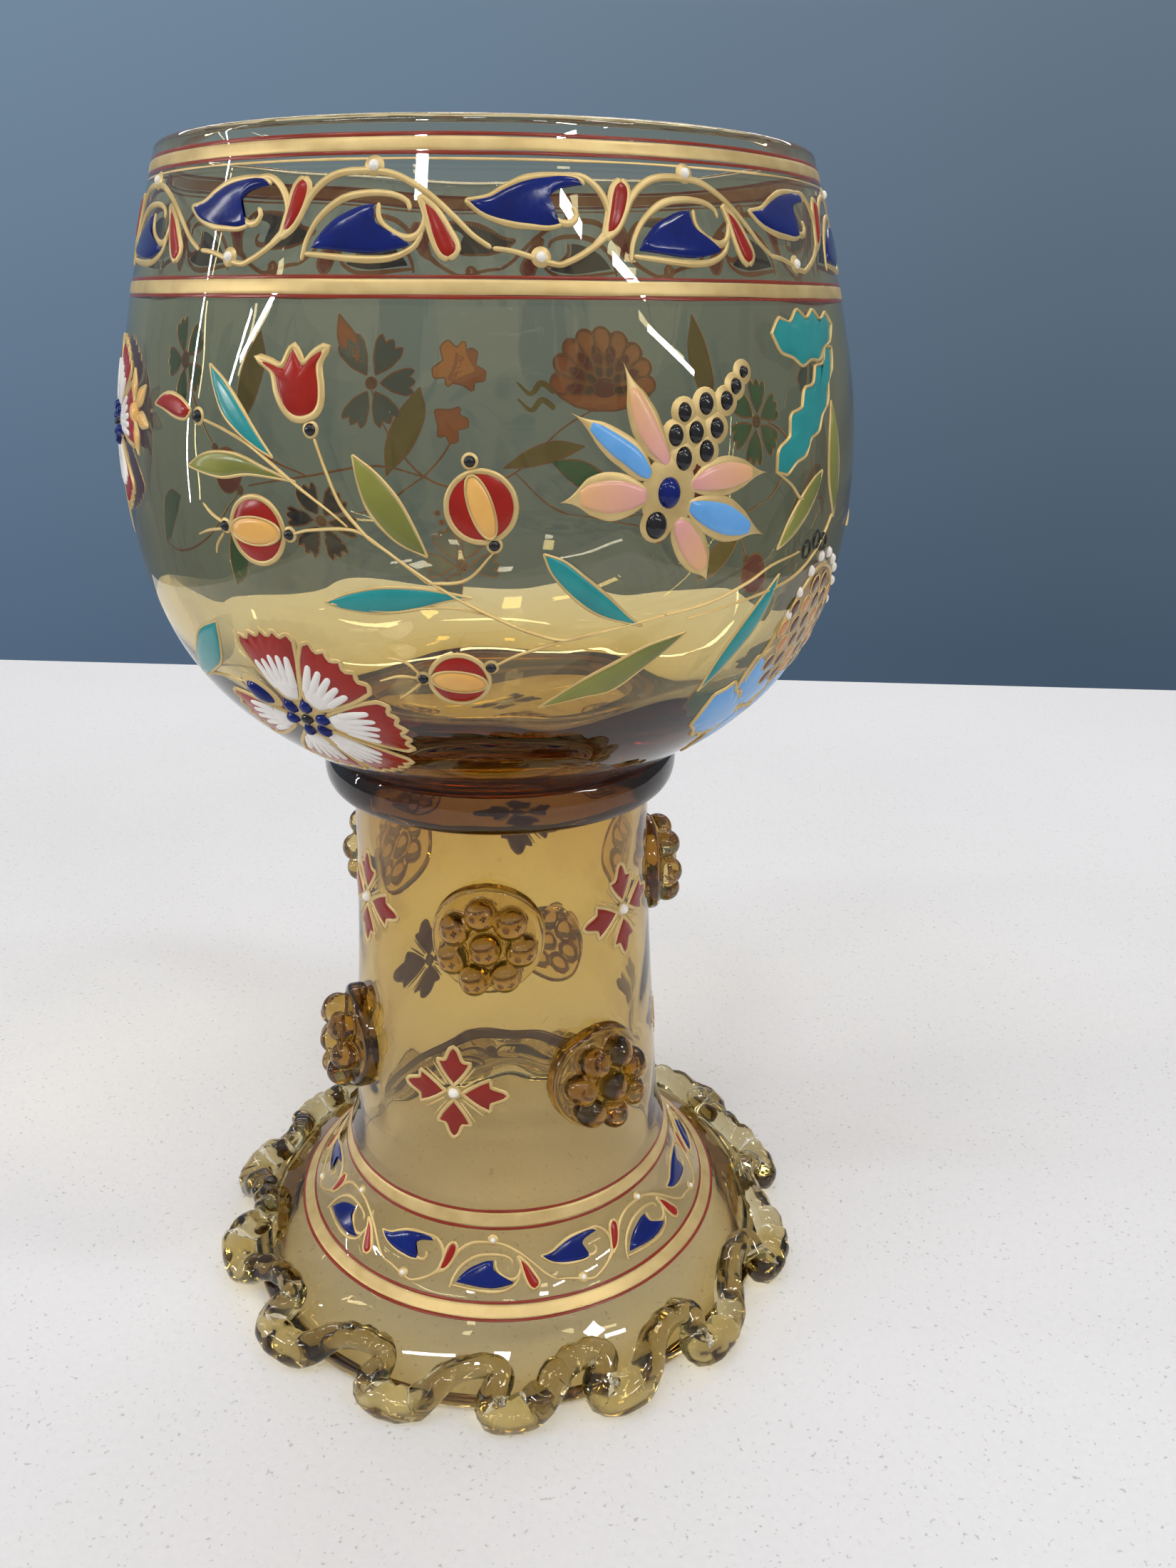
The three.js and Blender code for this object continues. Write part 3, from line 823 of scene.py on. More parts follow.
LEAF_LINE = 0.42
FINE_LINE = 0.38
BROAD_LINE = 0.5
STEM_LINE = 0.36


def framed(paint, color, outline, center, height, brush, ridge=0.2, base=0.0, rings=7):
    """Enamel inside a closed outline, with a raised gold line round it."""
    paint.drop(color, outline, center, height, rings=rings, base=base)
    paint.line("gold", outline, brush, ridge, closed=True, smooth=False, base=base)


def outlined(paint, color, left, right, brush, height=0.28):
    """Enamel between two edges, each with its raised gold line."""
    left, right = drawn(left), drawn(right)
    paint.fill(color, left, right, height)
    for edge in (left, right):
        paint.line("gold", edge, brush, 0.17, smooth=False, ends=(0.6, 0.6))


def leaf(paint, color, tip, base, one_side, other_side, brush=LEAF_LINE):
    outlined(paint, color, [tip, *one_side, base], [tip, *other_side, base], brush)


def black_bead(paint, center, radius=0.67):
    paint.bead("gold", center, radius + 0.2, 0.16)
    paint.bead("black", center, radius, 0.5)


def pomegranate(paint, center, radius, tilt, beads, thin=0.42):
    """A red ball split by a yellow lens that points along its tilt."""
    framed(paint, "red", paint.ring(center, radius, 32), center, 0.4, 0.6)
    lens = paint.ring(center, radius * thin, 32, 0.94 / thin, tilt)
    framed(paint, "yellow", lens, center, 0.3, 0.3, 0.16, base=0.3)
    for bead in beads:
        black_bead(paint, bead, 0.62)


paint = Paint(bowl_skin)
framed(paint, "red", drawn(TULIP, 5, closed=True), (-25.2, 129.8), 0.35, OUTLINE)
black_bead(paint, (-23.1, 126.1))
outlined(paint, "red", BUD_TOP, BUD_LOW, 0.6, 0.4)
black_bead(paint, (-41.6, 126.7), 0.72)
pomegranate(paint, (-32, 116.2), 3.3, 0, [(-37.4, 116.3), (-26.9, 116.1)])
pomegranate(paint, (-1.9, 119.4), 3.3, -72, [(-3.15, 123.6), (-0.4, 115.8)], 0.34)
pomegranate(paint, (-5.6, 101.7), 3.0, -6, [(-10.6, 101.8), (-1.2, 103.2)])


# Stems and leaves
# Every stem is one raised gold line, thin at its ends. The leaves are slender, turquoise and
# olive between gold lines, and there are two broader ones with saw teeth at the right.
SAW_DEPTH = 1.15
DEGREE_WIDTH = 0.75
STEMS = [
    [(-22.6, 125.3), (-21.1, 122.3), (-19.4, 119.3), (-17.3, 117.3), (-15.6, 116), (-13.1, 114.7),
     (-8.8, 112)],
    [(-40.4, 126.4), (-36.5, 125.6), (-32.2, 124.3), (-28, 122.3), (-24.6, 120.5), (-21.1, 118.7),
     (-18.6, 117.2)],
    [(-26.3, 116.2), (-23.7, 116.7), (-17.7, 116.9), (-13.5, 115)],
    [(-14, 115.2), (-9.9, 112.9), (-4.9, 110.4), (-0.3, 108.5), (4.2, 106.9), (8.8, 106), (15.2, 106.9),
     (22.5, 107.9)],
    [(22.5, 107.9), (29.3, 108.6), (36.1, 110.1), (40.7, 111.5), (47.5, 112.3)],
    [(-22, 109.5), (-14, 109), (-9.4, 109.5), (-4.9, 109.5), (-0.3, 108.5)],
    [(-0.8, 103.3), (2, 104.4), (4.7, 105.1), (8.8, 106), (13.3, 106.7)],
    [(-37.6, 116), (-40.7, 115.6), (-43.1, 115)],
    [(-37.8, 115.6), (-39.4, 114.3), (-39.9, 113.3)],
    [(-37.8, 116.6), (-39.8, 117.3), (-41.4, 118.3)],
    [(-11, 102.3), (-12.8, 103.6), (-15.4, 104)],
    [(-11.3, 101.8), (-14, 101.9), (-17, 101.2)],
    [(-11, 101.2), (-12.6, 100.2), (-14.5, 99.2)],
    [(-8.8, 112), (-4, 112.4), (-0.4, 115.2)],
    [(-60, 96.3), (-53.6, 97.7), (-47.2, 98.3), (-43.3, 98.3)],
    [(57.2, 115.5), (54, 112.8), (50, 110.6), (45, 109.2), (36.1, 108.2), (26, 107.2)],
    [(40.1, 121.3), (43.5, 119.8), (47, 118), (51.9, 120.3)],
]
TURQUOISE_LEAVES = [
    ((-39.6, 131.7), (-28.6, 123.3), [(-36.5, 130.1), (-33.9, 128.1), (-31.4, 125.8)],
     [(-38.4, 129.3), (-36.7, 127.1), (-34.1, 125.5), (-31.4, 124.3)]),
    ((-23, 109.5), (-3.3, 110.6), [(-19.5, 110.6), (-15.1, 111.4), (-10.2, 111.5), (-6.5, 111.1)],
     [(-20, 109), (-15.1, 108.8), (-10.2, 109.5), (-6.5, 110.3)]),
    ((5.6, 114.9), (19.3, 106.9), [(8.2, 114.1), (10.8, 112.5), (14, 110.4), (17, 108.2)],
     [(6.8, 112.8), (9.7, 110.3), (13.3, 108.4)]),
    ((32.0, 97.8), (43, 110.4), [(33.6, 101.5), (36.1, 104.7), (39.5, 107.8)],
     [(36.1, 101.1), (39.7, 104.3), (41.8, 107.4)]),
    ((-61, 96.8), (-43.9, 105.5), [(-57.5, 99), (-53.6, 101.5), (-49.6, 103.9)],
     [(-56.5, 97.2), (-52.3, 98.4), (-47.7, 100.1), (-45.3, 102.5)]),
]
OLIVE_LEAVES = [
    ((-44, 121.8), (-25.4, 121.2), [(-40.7, 123.1), (-37.3, 123.5), (-33.9, 123.3), (-30, 122.3)],
     [(-40.5, 121.3), (-37, 121.1), (-33, 121.6), (-29, 121.5)]),
    ((-17.6, 124), (-8.6, 114.6), [(-16.9, 121.3), (-15.6, 118.7), (-12.5, 116.1)],
     [(-14.6, 122.3), (-12, 120), (-10.1, 117.3)]),
    ((5.4, 98.2), (26.4, 105.7), [(11.1, 101.1), (15.6, 102.9), (20.6, 104.7)],
     [(11.5, 99.2), (16.1, 99.8), (20, 101.9), (23.3, 103.8)]),
]
for points in STEMS:
    paint.line("gold", points, STEM_LINE, ends=(0.8, 0.5))
for tip, base, one_side, other_side in TURQUOISE_LEAVES:
    leaf(paint, "turquoise", tip, base, one_side, other_side)
for tip, base, one_side, other_side in OLIVE_LEAVES:
    leaf(paint, "olive", tip, base, one_side, other_side)
leaf(paint, "olive", (41.4, 113.1), (52.2, 120.7), [(43.6, 116), (46.6, 118.4), (49.6, 120)],
     [(44.8, 114.3), (48.6, 116.6), (51, 118.8)], FINE_LINE)
leaf(paint, "olive", (55.6, 127.8), (58, 115), [(54.4, 123.6), (54.8, 119.4)],
     [(57.6, 124), (58.6, 119.4)], BROAD_LINE)


def jagged(points, teeth, depth, center, wide=DEGREE_WIDTH):
    """The same line with so many teeth cut into it, so many millimetres deep, away from a center."""
    size = np.array([wide, 1.0])
    line = evenly(points, 2 * teeth + 1) * size
    along = np.gradient(line, axis=0)
    out = np.stack([along[:, 1], -along[:, 0]], -1) / np.hypot(*along.T)[:, None]
    away = np.sign(np.sum(out * (line - np.array(center) * size), -1))
    swing = np.where(np.arange(len(line)) % 2 == 0, 0.0, depth) * away
    return (line + out * swing[:, None]) / size


def saw_leaf(paint, top, low, teeth, center):
    """A turquoise leaf with saw teeth down both sides."""
    upper = jagged(top, teeth, SAW_DEPTH, center)
    lower = jagged(low, teeth, SAW_DEPTH * 0.7, center)
    outline = np.vstack([evenly(upper, 6 * teeth), evenly(lower, 6 * teeth)[::-1][1:-1]])
    framed(paint, "turquoise", outline, center, 0.28, STEM_LINE, 0.22)


top = [(40.6, 134.7), (47, 136), (52, 136), (59.2, 135.5)]
low = [(40.6, 134.7), (44.8, 132.4), (49.3, 132), (54.4, 133), (59.2, 135.5)]
saw_leaf(paint, top, low, 4, (49.5, 134.2))
top = [(40.1, 121.3), (44.5, 126.3), (48.4, 128.7), (52.5, 131), (57.7, 133.2)]
low = [(40.1, 121.3), (44.3, 121.9), (48.7, 124.5), (52.5, 126.8), (57.7, 133.2)]
saw_leaf(paint, top, low, 5, (48.4, 126.3))
paint.fired("spray", palette)


# Star flower and berries
# Six long petals, four pink and two sky blue, round a cobalt bead, with a cluster of black
# beads on gold above it. The petals lie in broad gold outlines.
palette["pink"] = (enamel("rose_pink", (208, 140, 140), (226, 168, 160), tint=(222, 170, 116)), "enamel")
palette["sky"] = (enamel("sky_blue", (70, 142, 208), (116, 176, 230)), "enamel")
PETALS = [
    ("pink", (16.2, 132.3), (22, 122.3), [(16.6, 127.6), (18.6, 124.4)],
     [(18.9, 129.4), (20.6, 126.9), (22, 123.9)]),
    ("sky", (9.2, 127.9), (20, 121.6), [(12.5, 127.2), (15.4, 126), (18.2, 124.4)],
     [(12.9, 124.6), (15.6, 122.9), (17.9, 121.7)]),
    ("pink", (7.6, 119.7), (19.5, 120.1), [(11.1, 121.8), (15.2, 122), (18.4, 121)],
     [(11.3, 118.6), (14.5, 118.2), (17.9, 119)]),
    ("pink", (38.2, 121.4), (24.3, 120.6), [(34.3, 122.7), (30.5, 123.1), (27, 122.4)],
     [(35, 120.6), (31.1, 119.9), (27, 120)]),
    ("sky", (38.3, 115), (24, 119.2), [(35, 117.2), (31.1, 119), (27, 119.5)],
     [(35.4, 115), (31.4, 115.1), (28.2, 116), (25.5, 117.5)]),
    ("pink", (28.6, 111), (23, 118), [(26.4, 111.8), (24, 113.7), (22.5, 116.2)],
     [(28.8, 113), (27.7, 115.1), (25.3, 117.3)]),
]
PETAL_TAPER = [(0, 0.2), (0.12, 0.42), (0.3, 0.9), (0.5, 1.0), (1, 1.0)]
GOLD_SHARE = 1.2
COLOR_SHARE = 0.82
BERRIES = [(24.3, 127.7, 0.7), (27.6, 128.4, 0.8), (30.9, 128.6, 0.7), (32.6, 129.9, 0.6)]
BERRIES += [(34.1, 131.2, 0.45), (22.9, 125.6, 0.78), (25.9, 125.8, 0.8), (29.1, 126.1, 0.75)]
BERRIES += [(24, 123.4, 0.85), (27.4, 124, 0.8)]
STAR_HEART = (21.9, 120.2)
STAR_BEAD = (20.2, 117.2)
paint = Paint(bowl_skin)


def petal(paint, color, tip, base, one_side, other_side):
    """A gold petal with a long tip, and the colour laid in its middle."""
    left = evenly(drawn([base, *one_side[::-1], tip]), 30)
    right = evenly(drawn([base, *other_side[::-1], tip]), 30)
    middle = (left + right) / 2
    taper = np.interp(np.linspace(1, 0, 30), *zip(*PETAL_TAPER))[:, None]
    sides = [(side - middle) * taper for side in (left, right)]
    paint.fill("gold", *[middle + GOLD_SHARE * side for side in sides], 0.14)
    paint.fill(color, *[(middle + COLOR_SHARE * side)[2:24] for side in sides], 0.26, base=0.08)


for color, tip, base, one_side, other_side in PETALS:
    petal(paint, color, tip, base, one_side, other_side)
for azimuth, z, radius in BERRIES:
    paint.bead("gold", (azimuth, z), radius + 0.8, 0.14)
    paint.bead("black", (azimuth, z), radius * 1.12, 0.55, 0.08, stretch=1.25, tilt=84)
paint.drop("gold", paint.ring(STAR_HEART, 3.0, 28, 1.3, 80), STAR_HEART, 0.13)
paint.bead("cobalt", (21.9, 120.25), 1.3, 0.85, 0.08, stretch=1.22, tilt=90)
paint.bead("gold", STAR_BEAD, 1.75, 0.14)
paint.bead("black", STAR_BEAD, 1.2, 0.65, 0.08, stretch=1.15, tilt=90)
paint.fired("star_flower", palette)


# Carnations
# Fringed red petals with white rays painted over them from the middle, where oval cobalt
# beads sit in gold. The large one is low on the left of the front, and a smaller one lies at
# the left side, with a small yellow flower next to it.
palette["white"] = (enamel("tin_white", (222, 216, 208), (240, 236, 230)), "enamel")
CARNATION = 11.8
FRINGE = [(10.4, -4.2), (10.9, -2.2), (11.1, 0), (10.9, 2.2), (10.4, 4.2)]
PETAL_SIDES = [(10.4, 4.2), (8, 3.5), (5.4, 2.3), (3.2, 1.1), (2.9, 0), (3.2, -1.1), (5.4, -2.3), (8, -3.5)]
PETAL_SIDES += [(10.4, -4.2)]
RAY_BASE = [(3.3, -0.9), (5.4, -1.9), (6, -1.2), (6.2, 0), (6, 1.2), (5.4, 1.9), (3.3, 0.9), (3.1, 0)]
COBALT_BUD = (-40.6, 97.4)
YELLOW_FLOWER = (-60.2, 126.2)


def carnation(paint, center, size, turns):
    """Fringed petals at so many angles; all its sizes are those of the large one, scaled."""
    k = size / CARNATION
    for turn in turns:
        end = jagged(np.array(FRINGE) * k, 5, 0.95 * k, (0, 0), 1)
        sides = evenly(drawn(np.array(PETAL_SIDES) * k), 40)
        outline = paint.around(center, turn_to(np.vstack([evenly(end, 25), sides[1:-1]]), turn))
        middle = paint.around(center, turn_to([(7.6 * k, 0)], turn))[0]
        framed(paint, "red", outline, middle, 0.25, 0.6, rings=6)
        heart = paint.around(center, turn_to(evenly(drawn(np.array(RAY_BASE) * k, closed=True), 28), turn))
        paint.drop("white", heart, None, 0.22, rings=5, base=0.2)
        for ray in (-2, -1, 0, 1, 2):
            reach = 9.2 - 0.35 * abs(ray) + 0.3 * math.sin(turn + ray)
            points = [(4.6 * k, 0.62 * ray * k), (reach * k, 1.22 * ray * k)]
            brushed = paint.around(center, turn_to(evenly(points, 6), turn))
            paint.line("white", brushed, 1.05 * k, smooth=False, ends=(1.0, 0.7), base=0.2)
    paint.drop("gold", paint.ring(center, 3.1 * k, 24), center, 0.16)
    for bead in range(6):
        a = 60 * bead + turns[0] - 30
        spot = paint.around(center, turn_to([(2.25 * k, 0)], a))[0]
        paint.bead("cobalt", spot, 0.85 * k, 0.75, sides=18, stretch=1.3, tilt=a)
    paint.bead("black", center, 0.8 * k, 0.75, sides=18, stretch=1.2, tilt=20)


paint = Paint(bowl_skin)
carnation(paint, (-32.8, 94.9), CARNATION, [98, 50, 0, -55, -105, -168])
paint.drop("gold", paint.ring(COBALT_BUD, 1.9, 24, 1.5, -35), COBALT_BUD, 0.2)
paint.bead("cobalt", COBALT_BUD, 1.35, 0.8, sides=24, stretch=1.6, tilt=-35)
carnation(paint, (-71.5, 124.5), 9.4, [10, 62, 118, 170, 232, 295])
for turn in (95, 40, -15, -75):
    flat = turn_to([(4.6, 0), (0.8, 0), (2.6, 0.75), (2.6, -0.75)], turn)
    tip, base, one_side, other_side = paint.around(YELLOW_FLOWER, flat)
    leaf(paint, "yellow", tip, base, [one_side], [other_side], 0.45)
paint.bead("yellow", YELLOW_FLOWER, 1.2, 0.5)
paint.fired("carnations", palette)


# Seed head on the right
# A large half flower low on the right: a tan cone with scales of brown and orange, dotted with
# white, with black rings on top of it and sky blue fringed petals hanging under it.
palette["orange"] = (enamel("burnt_orange", (176, 106, 52), (206, 142, 84)), "enamel")
palette["tan"] = (enamel("tan", (136, 114, 80), (168, 140, 98)), "enamel")
palette["brown"] = (enamel("manganese_brown", (70, 38, 26), (104, 60, 40)), "enamel")
CONE = [(43.5, 97.5), (45.5, 101.5), (48.3, 105), (51.5, 108), (55.2, 109.6), (59.5, 109.3), (63.5, 107.7)]
CONE += [(67.2, 104.8), (69, 101), (68.3, 97.4), (63, 96), (57, 95.5), (50, 95.9)]
WHITE_DOTS = [(48.4, 104.9), (50.1, 107.3), (52.5, 109.5), (55.3, 110.9), (58.7, 110.9), (61.9, 109.7)]
WHITE_DOTS += [(64.7, 108.3), (67.3, 106.3), (69.6, 103.6)]
BLACK_RINGS = [(49.4, 112.3), (52.4, 113.1), (55.0, 112.6)]
HANGING = [
    [(42.6, 99), (47.2, 100.8), (50.3, 99.6), (53.4, 97), (54.7, 94.2), (51.6, 93), (47, 93.6), (43.6, 96)],
    [(36, 95), (39.6, 97.3), (43, 95.9), (46.9, 94), (49.4, 91.6), (46, 90), (41, 90.6), (37.2, 92)],
    [(55.5, 95), (59, 96.4), (64, 96), (68, 93.6), (66.6, 90.4), (62, 89), (57.6, 90.6), (55.6, 93)],
    [(47.6, 91.6), (51, 92.4), (55.6, 91.6), (58.6, 88.8), (57, 86.2), (52.6, 85.6), (48.8, 87.2),
     (46.8, 89.6)],
    [(68.6, 96), (72.6, 97.6), (77.6, 96.4), (80, 93), (77, 90.6), (72.6, 90.4), (69, 92.4), (67.6, 94.4)],
]
paint = Paint(bowl_skin)
framed(paint, "tan", drawn(CONE, 5, closed=True), (56, 102), 0.3, 0.5, 0.22)
for row in range(6):
    for step in range(7):
        azimuth, z = 46 + step * 3.5 + (row % 2) * 1.75, 97.2 + row * 2.1
        if math.hypot((azimuth - 57) / 11, (z - 101.3) / 7.6) < 0.9:
            color = "brown" if (row + step) % 3 else "orange"
            scale = paint.ring((azimuth, z), 0.95, 16, 1.25, 60)
            paint.drop(color, scale, (azimuth, z), 0.15, 3.0, 4, 0.27)
            paint.line("gold", scale, 0.2, 0.08, closed=True, smooth=False, base=0.27)
for dot in WHITE_DOTS:
    paint.bead("white", dot, 0.5, 0.45, sides=16, stretch=1.4, tilt=90)
for ring in BLACK_RINGS:
    paint.line("black", paint.ring(ring, 0.8, 20, 1.25, 80), 0.3, 0.2, closed=True, smooth=False)
for petal in HANGING:
    center = np.array(petal).mean(0)
    outline = jagged(drawn(petal, 5, closed=True), 9, 0.7, center)
    outline = evenly(np.vstack([outline, outline[:1]]), 90)[:-1]
    framed(paint, "sky", outline, center, 0.28, 0.55, 0.22)
paint.fired("seed_head", palette)


# Flowers of the back
# The spray goes on round the bowl, and shows through it: a lotus, cornflowers, leaves like
# ivy, pomegranates and long olive leaves, all on gold stems.
palette["wine"] = (enamel("wine_red", (114, 18, 8), (142, 34, 18), shine=0.35), "enamel")
palette["blue"] = (enamel("cornflower_blue", (76, 112, 176), (110, 150, 206)), "enamel")
LOTUS = (156.4, 124.6)
LOTUS_REACH = 7.8
SCALLOP = 1.3
SCALLOP_STEP = 21.5
SCALLOP_START = 4
LOTUS_SCALES = [(9, 7.0, 1.4, 1.5, None), (8, 4.9, 0.85, 2.0, "wine"), (6, 2.7, 0.7, 1.6, "brown")]
LOTUS_FOOT = [(-7.6, -1.4), (-5, -2.8), (-1.8, -3.5), (1.8, -3.5), (5, -2.8), (7.6, -1.4)]
TENDRIL = [(8.4, -0.8), (10.6, 0.5), (12.4, -1.1), (14.6, 0.6)]
TENDRIL_GAP = 2.4
BLUE_PETAL = [(0.22, 0), (0.5, 0.2), (0.82, 0.3), (1, 0.26), (0.86, 0.12), (1.04, 0), (0.86, -0.12)]
BLUE_PETAL += [(1, -0.26), (0.82, -0.3), (0.5, -0.2)]
FIVE_POINTS = [(-0.1, 0), (-0.35, 0.35), (-0.2, 0.6), (0.15, 0.45), (0.3, 0.75), (0.5, 0.4), (1, 0)]
FIVE_POINTS += [(x, -y) for x, y in FIVE_POINTS[::-1][1:-1]]
CORNFLOWERS = [
    ("blue", (206.5, 125.5), 7.4, [60, 120, 180, -60, -115]),
    ("cobalt", (221, 104.6), 6.4, [15, 75, 135, 195, 255, 315]),
    ("blue", (189, 96.5), 6.2, [60, 120, 180, -60, 0]),
    ("turquoise", (118, 121.5), 6.2, [30, 90, 150, 210, 270, 330]),
    ("blue", (96, 131.4), 5.6, [20, 92, 164, 236, 308]),
    ("turquoise", (256, 130.2), 5.0, [0, 72, 144, 216, 288]),
]
BLACK_BEADS = [(190, 102.6), (192.5, 102.9), (190.8, 104.8), (193.4, 105), (188.6, 104.3)]
BACK_FRUITS = [
    ((243.5, 114.8), 3.1, 60, [(240.6, 111.6), (246.4, 118)]),
    ((134, 112), 3.2, -20, [(129.4, 113.2), (138.6, 110.8)]),
    ((141, 104.4), 2.4, 80, [(141, 101.2), (141, 107.6)]),
    ((109, 99.8), 2.9, 25, [(105, 98.3), (113, 101.3)]),
]
BACK_LEAVES = [
    ("olive", (195.7, 124.6), (204.2, 111), [(194.8, 120), (198.4, 114.6)],
     [(200.2, 120.6), (203.6, 115.6)]),
    ("olive", (178.5, 111.6), (160.4, 115.6), [(173, 114.6), (167, 116.2)], [(173, 111.9), (166, 113.4)]),
    ("turquoise", (152, 107.5), (168, 113), [(155, 111), (161, 113.3)], [(157.5, 107.8), (164, 110.3)]),
    ("olive", (134.5, 136), (131.5, 122.5), [(131.5, 132), (130.2, 127)], [(136, 131), (134.4, 126)]),
    ("olive", (233, 133.4), (238, 120.6), [(231.6, 129), (234, 124)], [(236.8, 129.6), (238.6, 125)]),
    ("olive", (146, 119.6), (150, 106.6), [(144, 115), (146.4, 110)], [(148.6, 115.6), (150.4, 111)]),
    ("turquoise", (250.5, 99), (241, 108.5), [(248.6, 103), (244.6, 106.8)], [(246.2, 99.8), (242, 103.8)]),
    ("turquoise", (262, 113.4), (279, 109), [(267, 114.6), (273.5, 112.8)], [(266, 111), (273, 109)]),
    ("turquoise", (92, 94.6), (104, 97.8), [(95.6, 97.6), (100.4, 98.9)], [(97, 94.4), (101.6, 95.9)]),
    ("olive", (127, 96.4), (118, 104.4), [(126.4, 100.2), (122.4, 103.4)], [(122.8, 97.6), (119.4, 101)]),
]
BACK_STEMS = [
    [(206.5, 124.4), (203, 117), (196, 110.6), (186, 108.4), (176, 110.8), (166, 118), (158, 121.6)],
    [(196, 110.6), (206, 107), (216, 105.6)],
    [(196, 110.6), (206, 112.4), (222, 112), (238, 112)],
    [(186, 108.4), (188, 103.6), (189.4, 99.6)],
    [(188.2, 117.4), (192, 113.4), (196, 110.6)],
    [(176, 110.8), (168, 106), (154, 103.6), (142, 102.6)],
    [(154, 103.6), (142, 106.6), (138.6, 110)],
    [(150, 106.6), (140, 104), (124, 106), (112, 111), (104, 119), (98, 127)],
    [(246.8, 118.6), (251, 123.5), (255, 128)],
    [(222, 112), (232, 116), (238, 121)],
    [(240, 112), (252, 106.4), (266, 106), (280, 110), (286, 116)],
    [(134, 121.6), (140, 114), (154, 103.6)],
    [(104, 119), (110, 121), (114, 121.6)],
    [(100, 108), (90, 112), (82, 114), (72, 112.4)],
    [(113.4, 101.5), (118, 104.4), (122, 106.6), (128, 105.2)],
]


def cut_out(paint, color, shape, center, size, turn, middle, count):
    """A shape drawn for a size of one, laid at its place, size and turn."""
    flat = evenly(np.vstack([shape, shape[:1]]), count)[:-1] * size
    outline = paint.around(center, turn_to(flat, turn))
    middle = paint.around(center, turn_to([(middle * size, 0)], turn))[0]
    framed(paint, color, outline, middle, 0.25, 0.5, rings=5)


def cornflower(paint, color, center, size, turns):
    for turn in turns:
        cut_out(paint, color, BLUE_PETAL, center, size, turn, 0.62, 40)
    black_bead(paint, center, 0.9)


def ivy_leaf(paint, color, center, size, turn):
    """A leaf of five points."""
    cut_out(paint, color, FIVE_POINTS, center, size, turn, 0.2, 48)


paint = Paint(bowl_skin)
dome = []
for a in np.linspace(0, math.pi, 109):
    swing = math.cos(math.pi * (math.degrees(a) - SCALLOP_START) / SCALLOP_STEP)
    reach = LOTUS_REACH + SCALLOP * math.sqrt(abs(swing))
    dome.append((reach * math.cos(a), reach * math.sin(a)))
outline = paint.around(LOTUS, dome + LOTUS_FOOT)
heart = paint.around(LOTUS, [(0, 1.5)])[0]
paint.drop("orange", outline, heart, 0.2, base=0.08)
paint.line("gold", outline, 0.4, 0.2, closed=True, smooth=False)
for row, (count, out, size, stretch, color) in enumerate(LOTUS_SCALES):
    for turn in np.linspace(4 - 6 * row, 176 + 6 * row, count):
        spot = paint.around(LOTUS, turn_to([(out, 0)], turn))[0]
        scale = paint.ring(spot, size, 20, stretch, turn)
        if color:
            paint.drop(color, scale, spot, 0.38, 4.0, 5, -0.01 * row)
        paint.line("gold", scale, 0.24, 0.42, closed=True, smooth=False, base=-0.03)
paint.drop("wine", paint.ring(LOTUS, 1.5, 20, 1.5), LOTUS, 0.45)
for drop in (0, TENDRIL_GAP):
    paint.line("olive", paint.around(LOTUS, np.array(TENDRIL) - [0, drop]), 0.9, ends=(1, 0.3))
ivy_leaf(paint, "yellow", (190, 128.6), 5.2, 200)
ivy_leaf(paint, "orange", (184.5, 127.5), 4.8, -25)
ivy_leaf(paint, "orange", (188.5, 118), 4.2, 40)
for color, center, size, turns in CORNFLOWERS:
    cornflower(paint, color, center, size, turns)
for spot in BLACK_BEADS:
    black_bead(paint, spot, 0.38)
for center, radius, tilt, beads in BACK_FRUITS:
    pomegranate(paint, center, radius, tilt, beads)
for color, tip, base, one_side, other_side in BACK_LEAVES:
    leaf(paint, color, tip, base, one_side, other_side, FINE_LINE)
leaf(paint, "orange", (213.5, 135.6), (208.5, 127.5), [(213.2, 131.4)], [(209.2, 131.8)], BROAD_LINE)
leaf(paint, "olive", (86, 118), (100, 108), [(88.6, 112.6), (94.6, 108.6)], [(92.6, 117), (98, 112.4)],
     BROAD_LINE)
for points in BACK_STEMS:
    paint.line("gold", points, STEM_LINE, ends=(0.7, 0.7))
paint.fired("back_spray", palette)


# Stem flowers
# Six dark red flowers stand on the stem between the prunts, each of four petals with three
# points in a broad gold outline, with a white pearl in the middle and gold sprigs between.
STEM_FLOWERS = [(50, 60.7, 4), (-19.4, 37.3, 0), (-63.3, 61.6, -3)]
STEM_FLOWERS += [(172, 61.2, 6), (-141, 37.6, 2), (96, 37.4, -4)]
CROSS_PETAL = [(1.1, 0), (2.2, 0.95), (3.4, 1.8), (4.75, 2.5), (4.8, 1.25), (6.5, 0.62), (7.1, 0)]
CROSS_PETAL += [(x, -y) for x, y in CROSS_PETAL[::-1][1:]]
SIDE_REACH = 1.08


def stem_place(azimuth, z):
    """A place on the stem by its height."""
    return azimuth, float(np.interp(-z, -stem_skin.z, stem_skin.along))


paint = Paint(stem_skin)
for azimuth, z, tilt in STEM_FLOWERS:
    center = stem_place(azimuth, z)
    for turn, reach in ((90, 1), (0, SIDE_REACH), (-90, 1), (180, SIDE_REACH)):
        flat = evenly(np.array(CROSS_PETAL) * [reach, 1], 46)[:-1]
        outline = paint.around(center, turn_to(flat, turn + tilt))
        middle = paint.around(center, turn_to([(4.0, 0)], turn + tilt))[0]
        framed(paint, "wine", outline, middle, 0.2, 0.62, 0.16, rings=5)
        for spread in (-9, 9):
            sprig = paint.around(center, turn_to([(1.6, 0), (3.4, 0), (5.2, 0)], turn + tilt + 45 + spread))
            paint.line("gold", sprig, 0.35, 0.14, ends=(0.8, 0.4))
    paint.bead("gold", center, 1.1, 0.16)
    paint.bead("pearl", center, 0.8, 0.8)
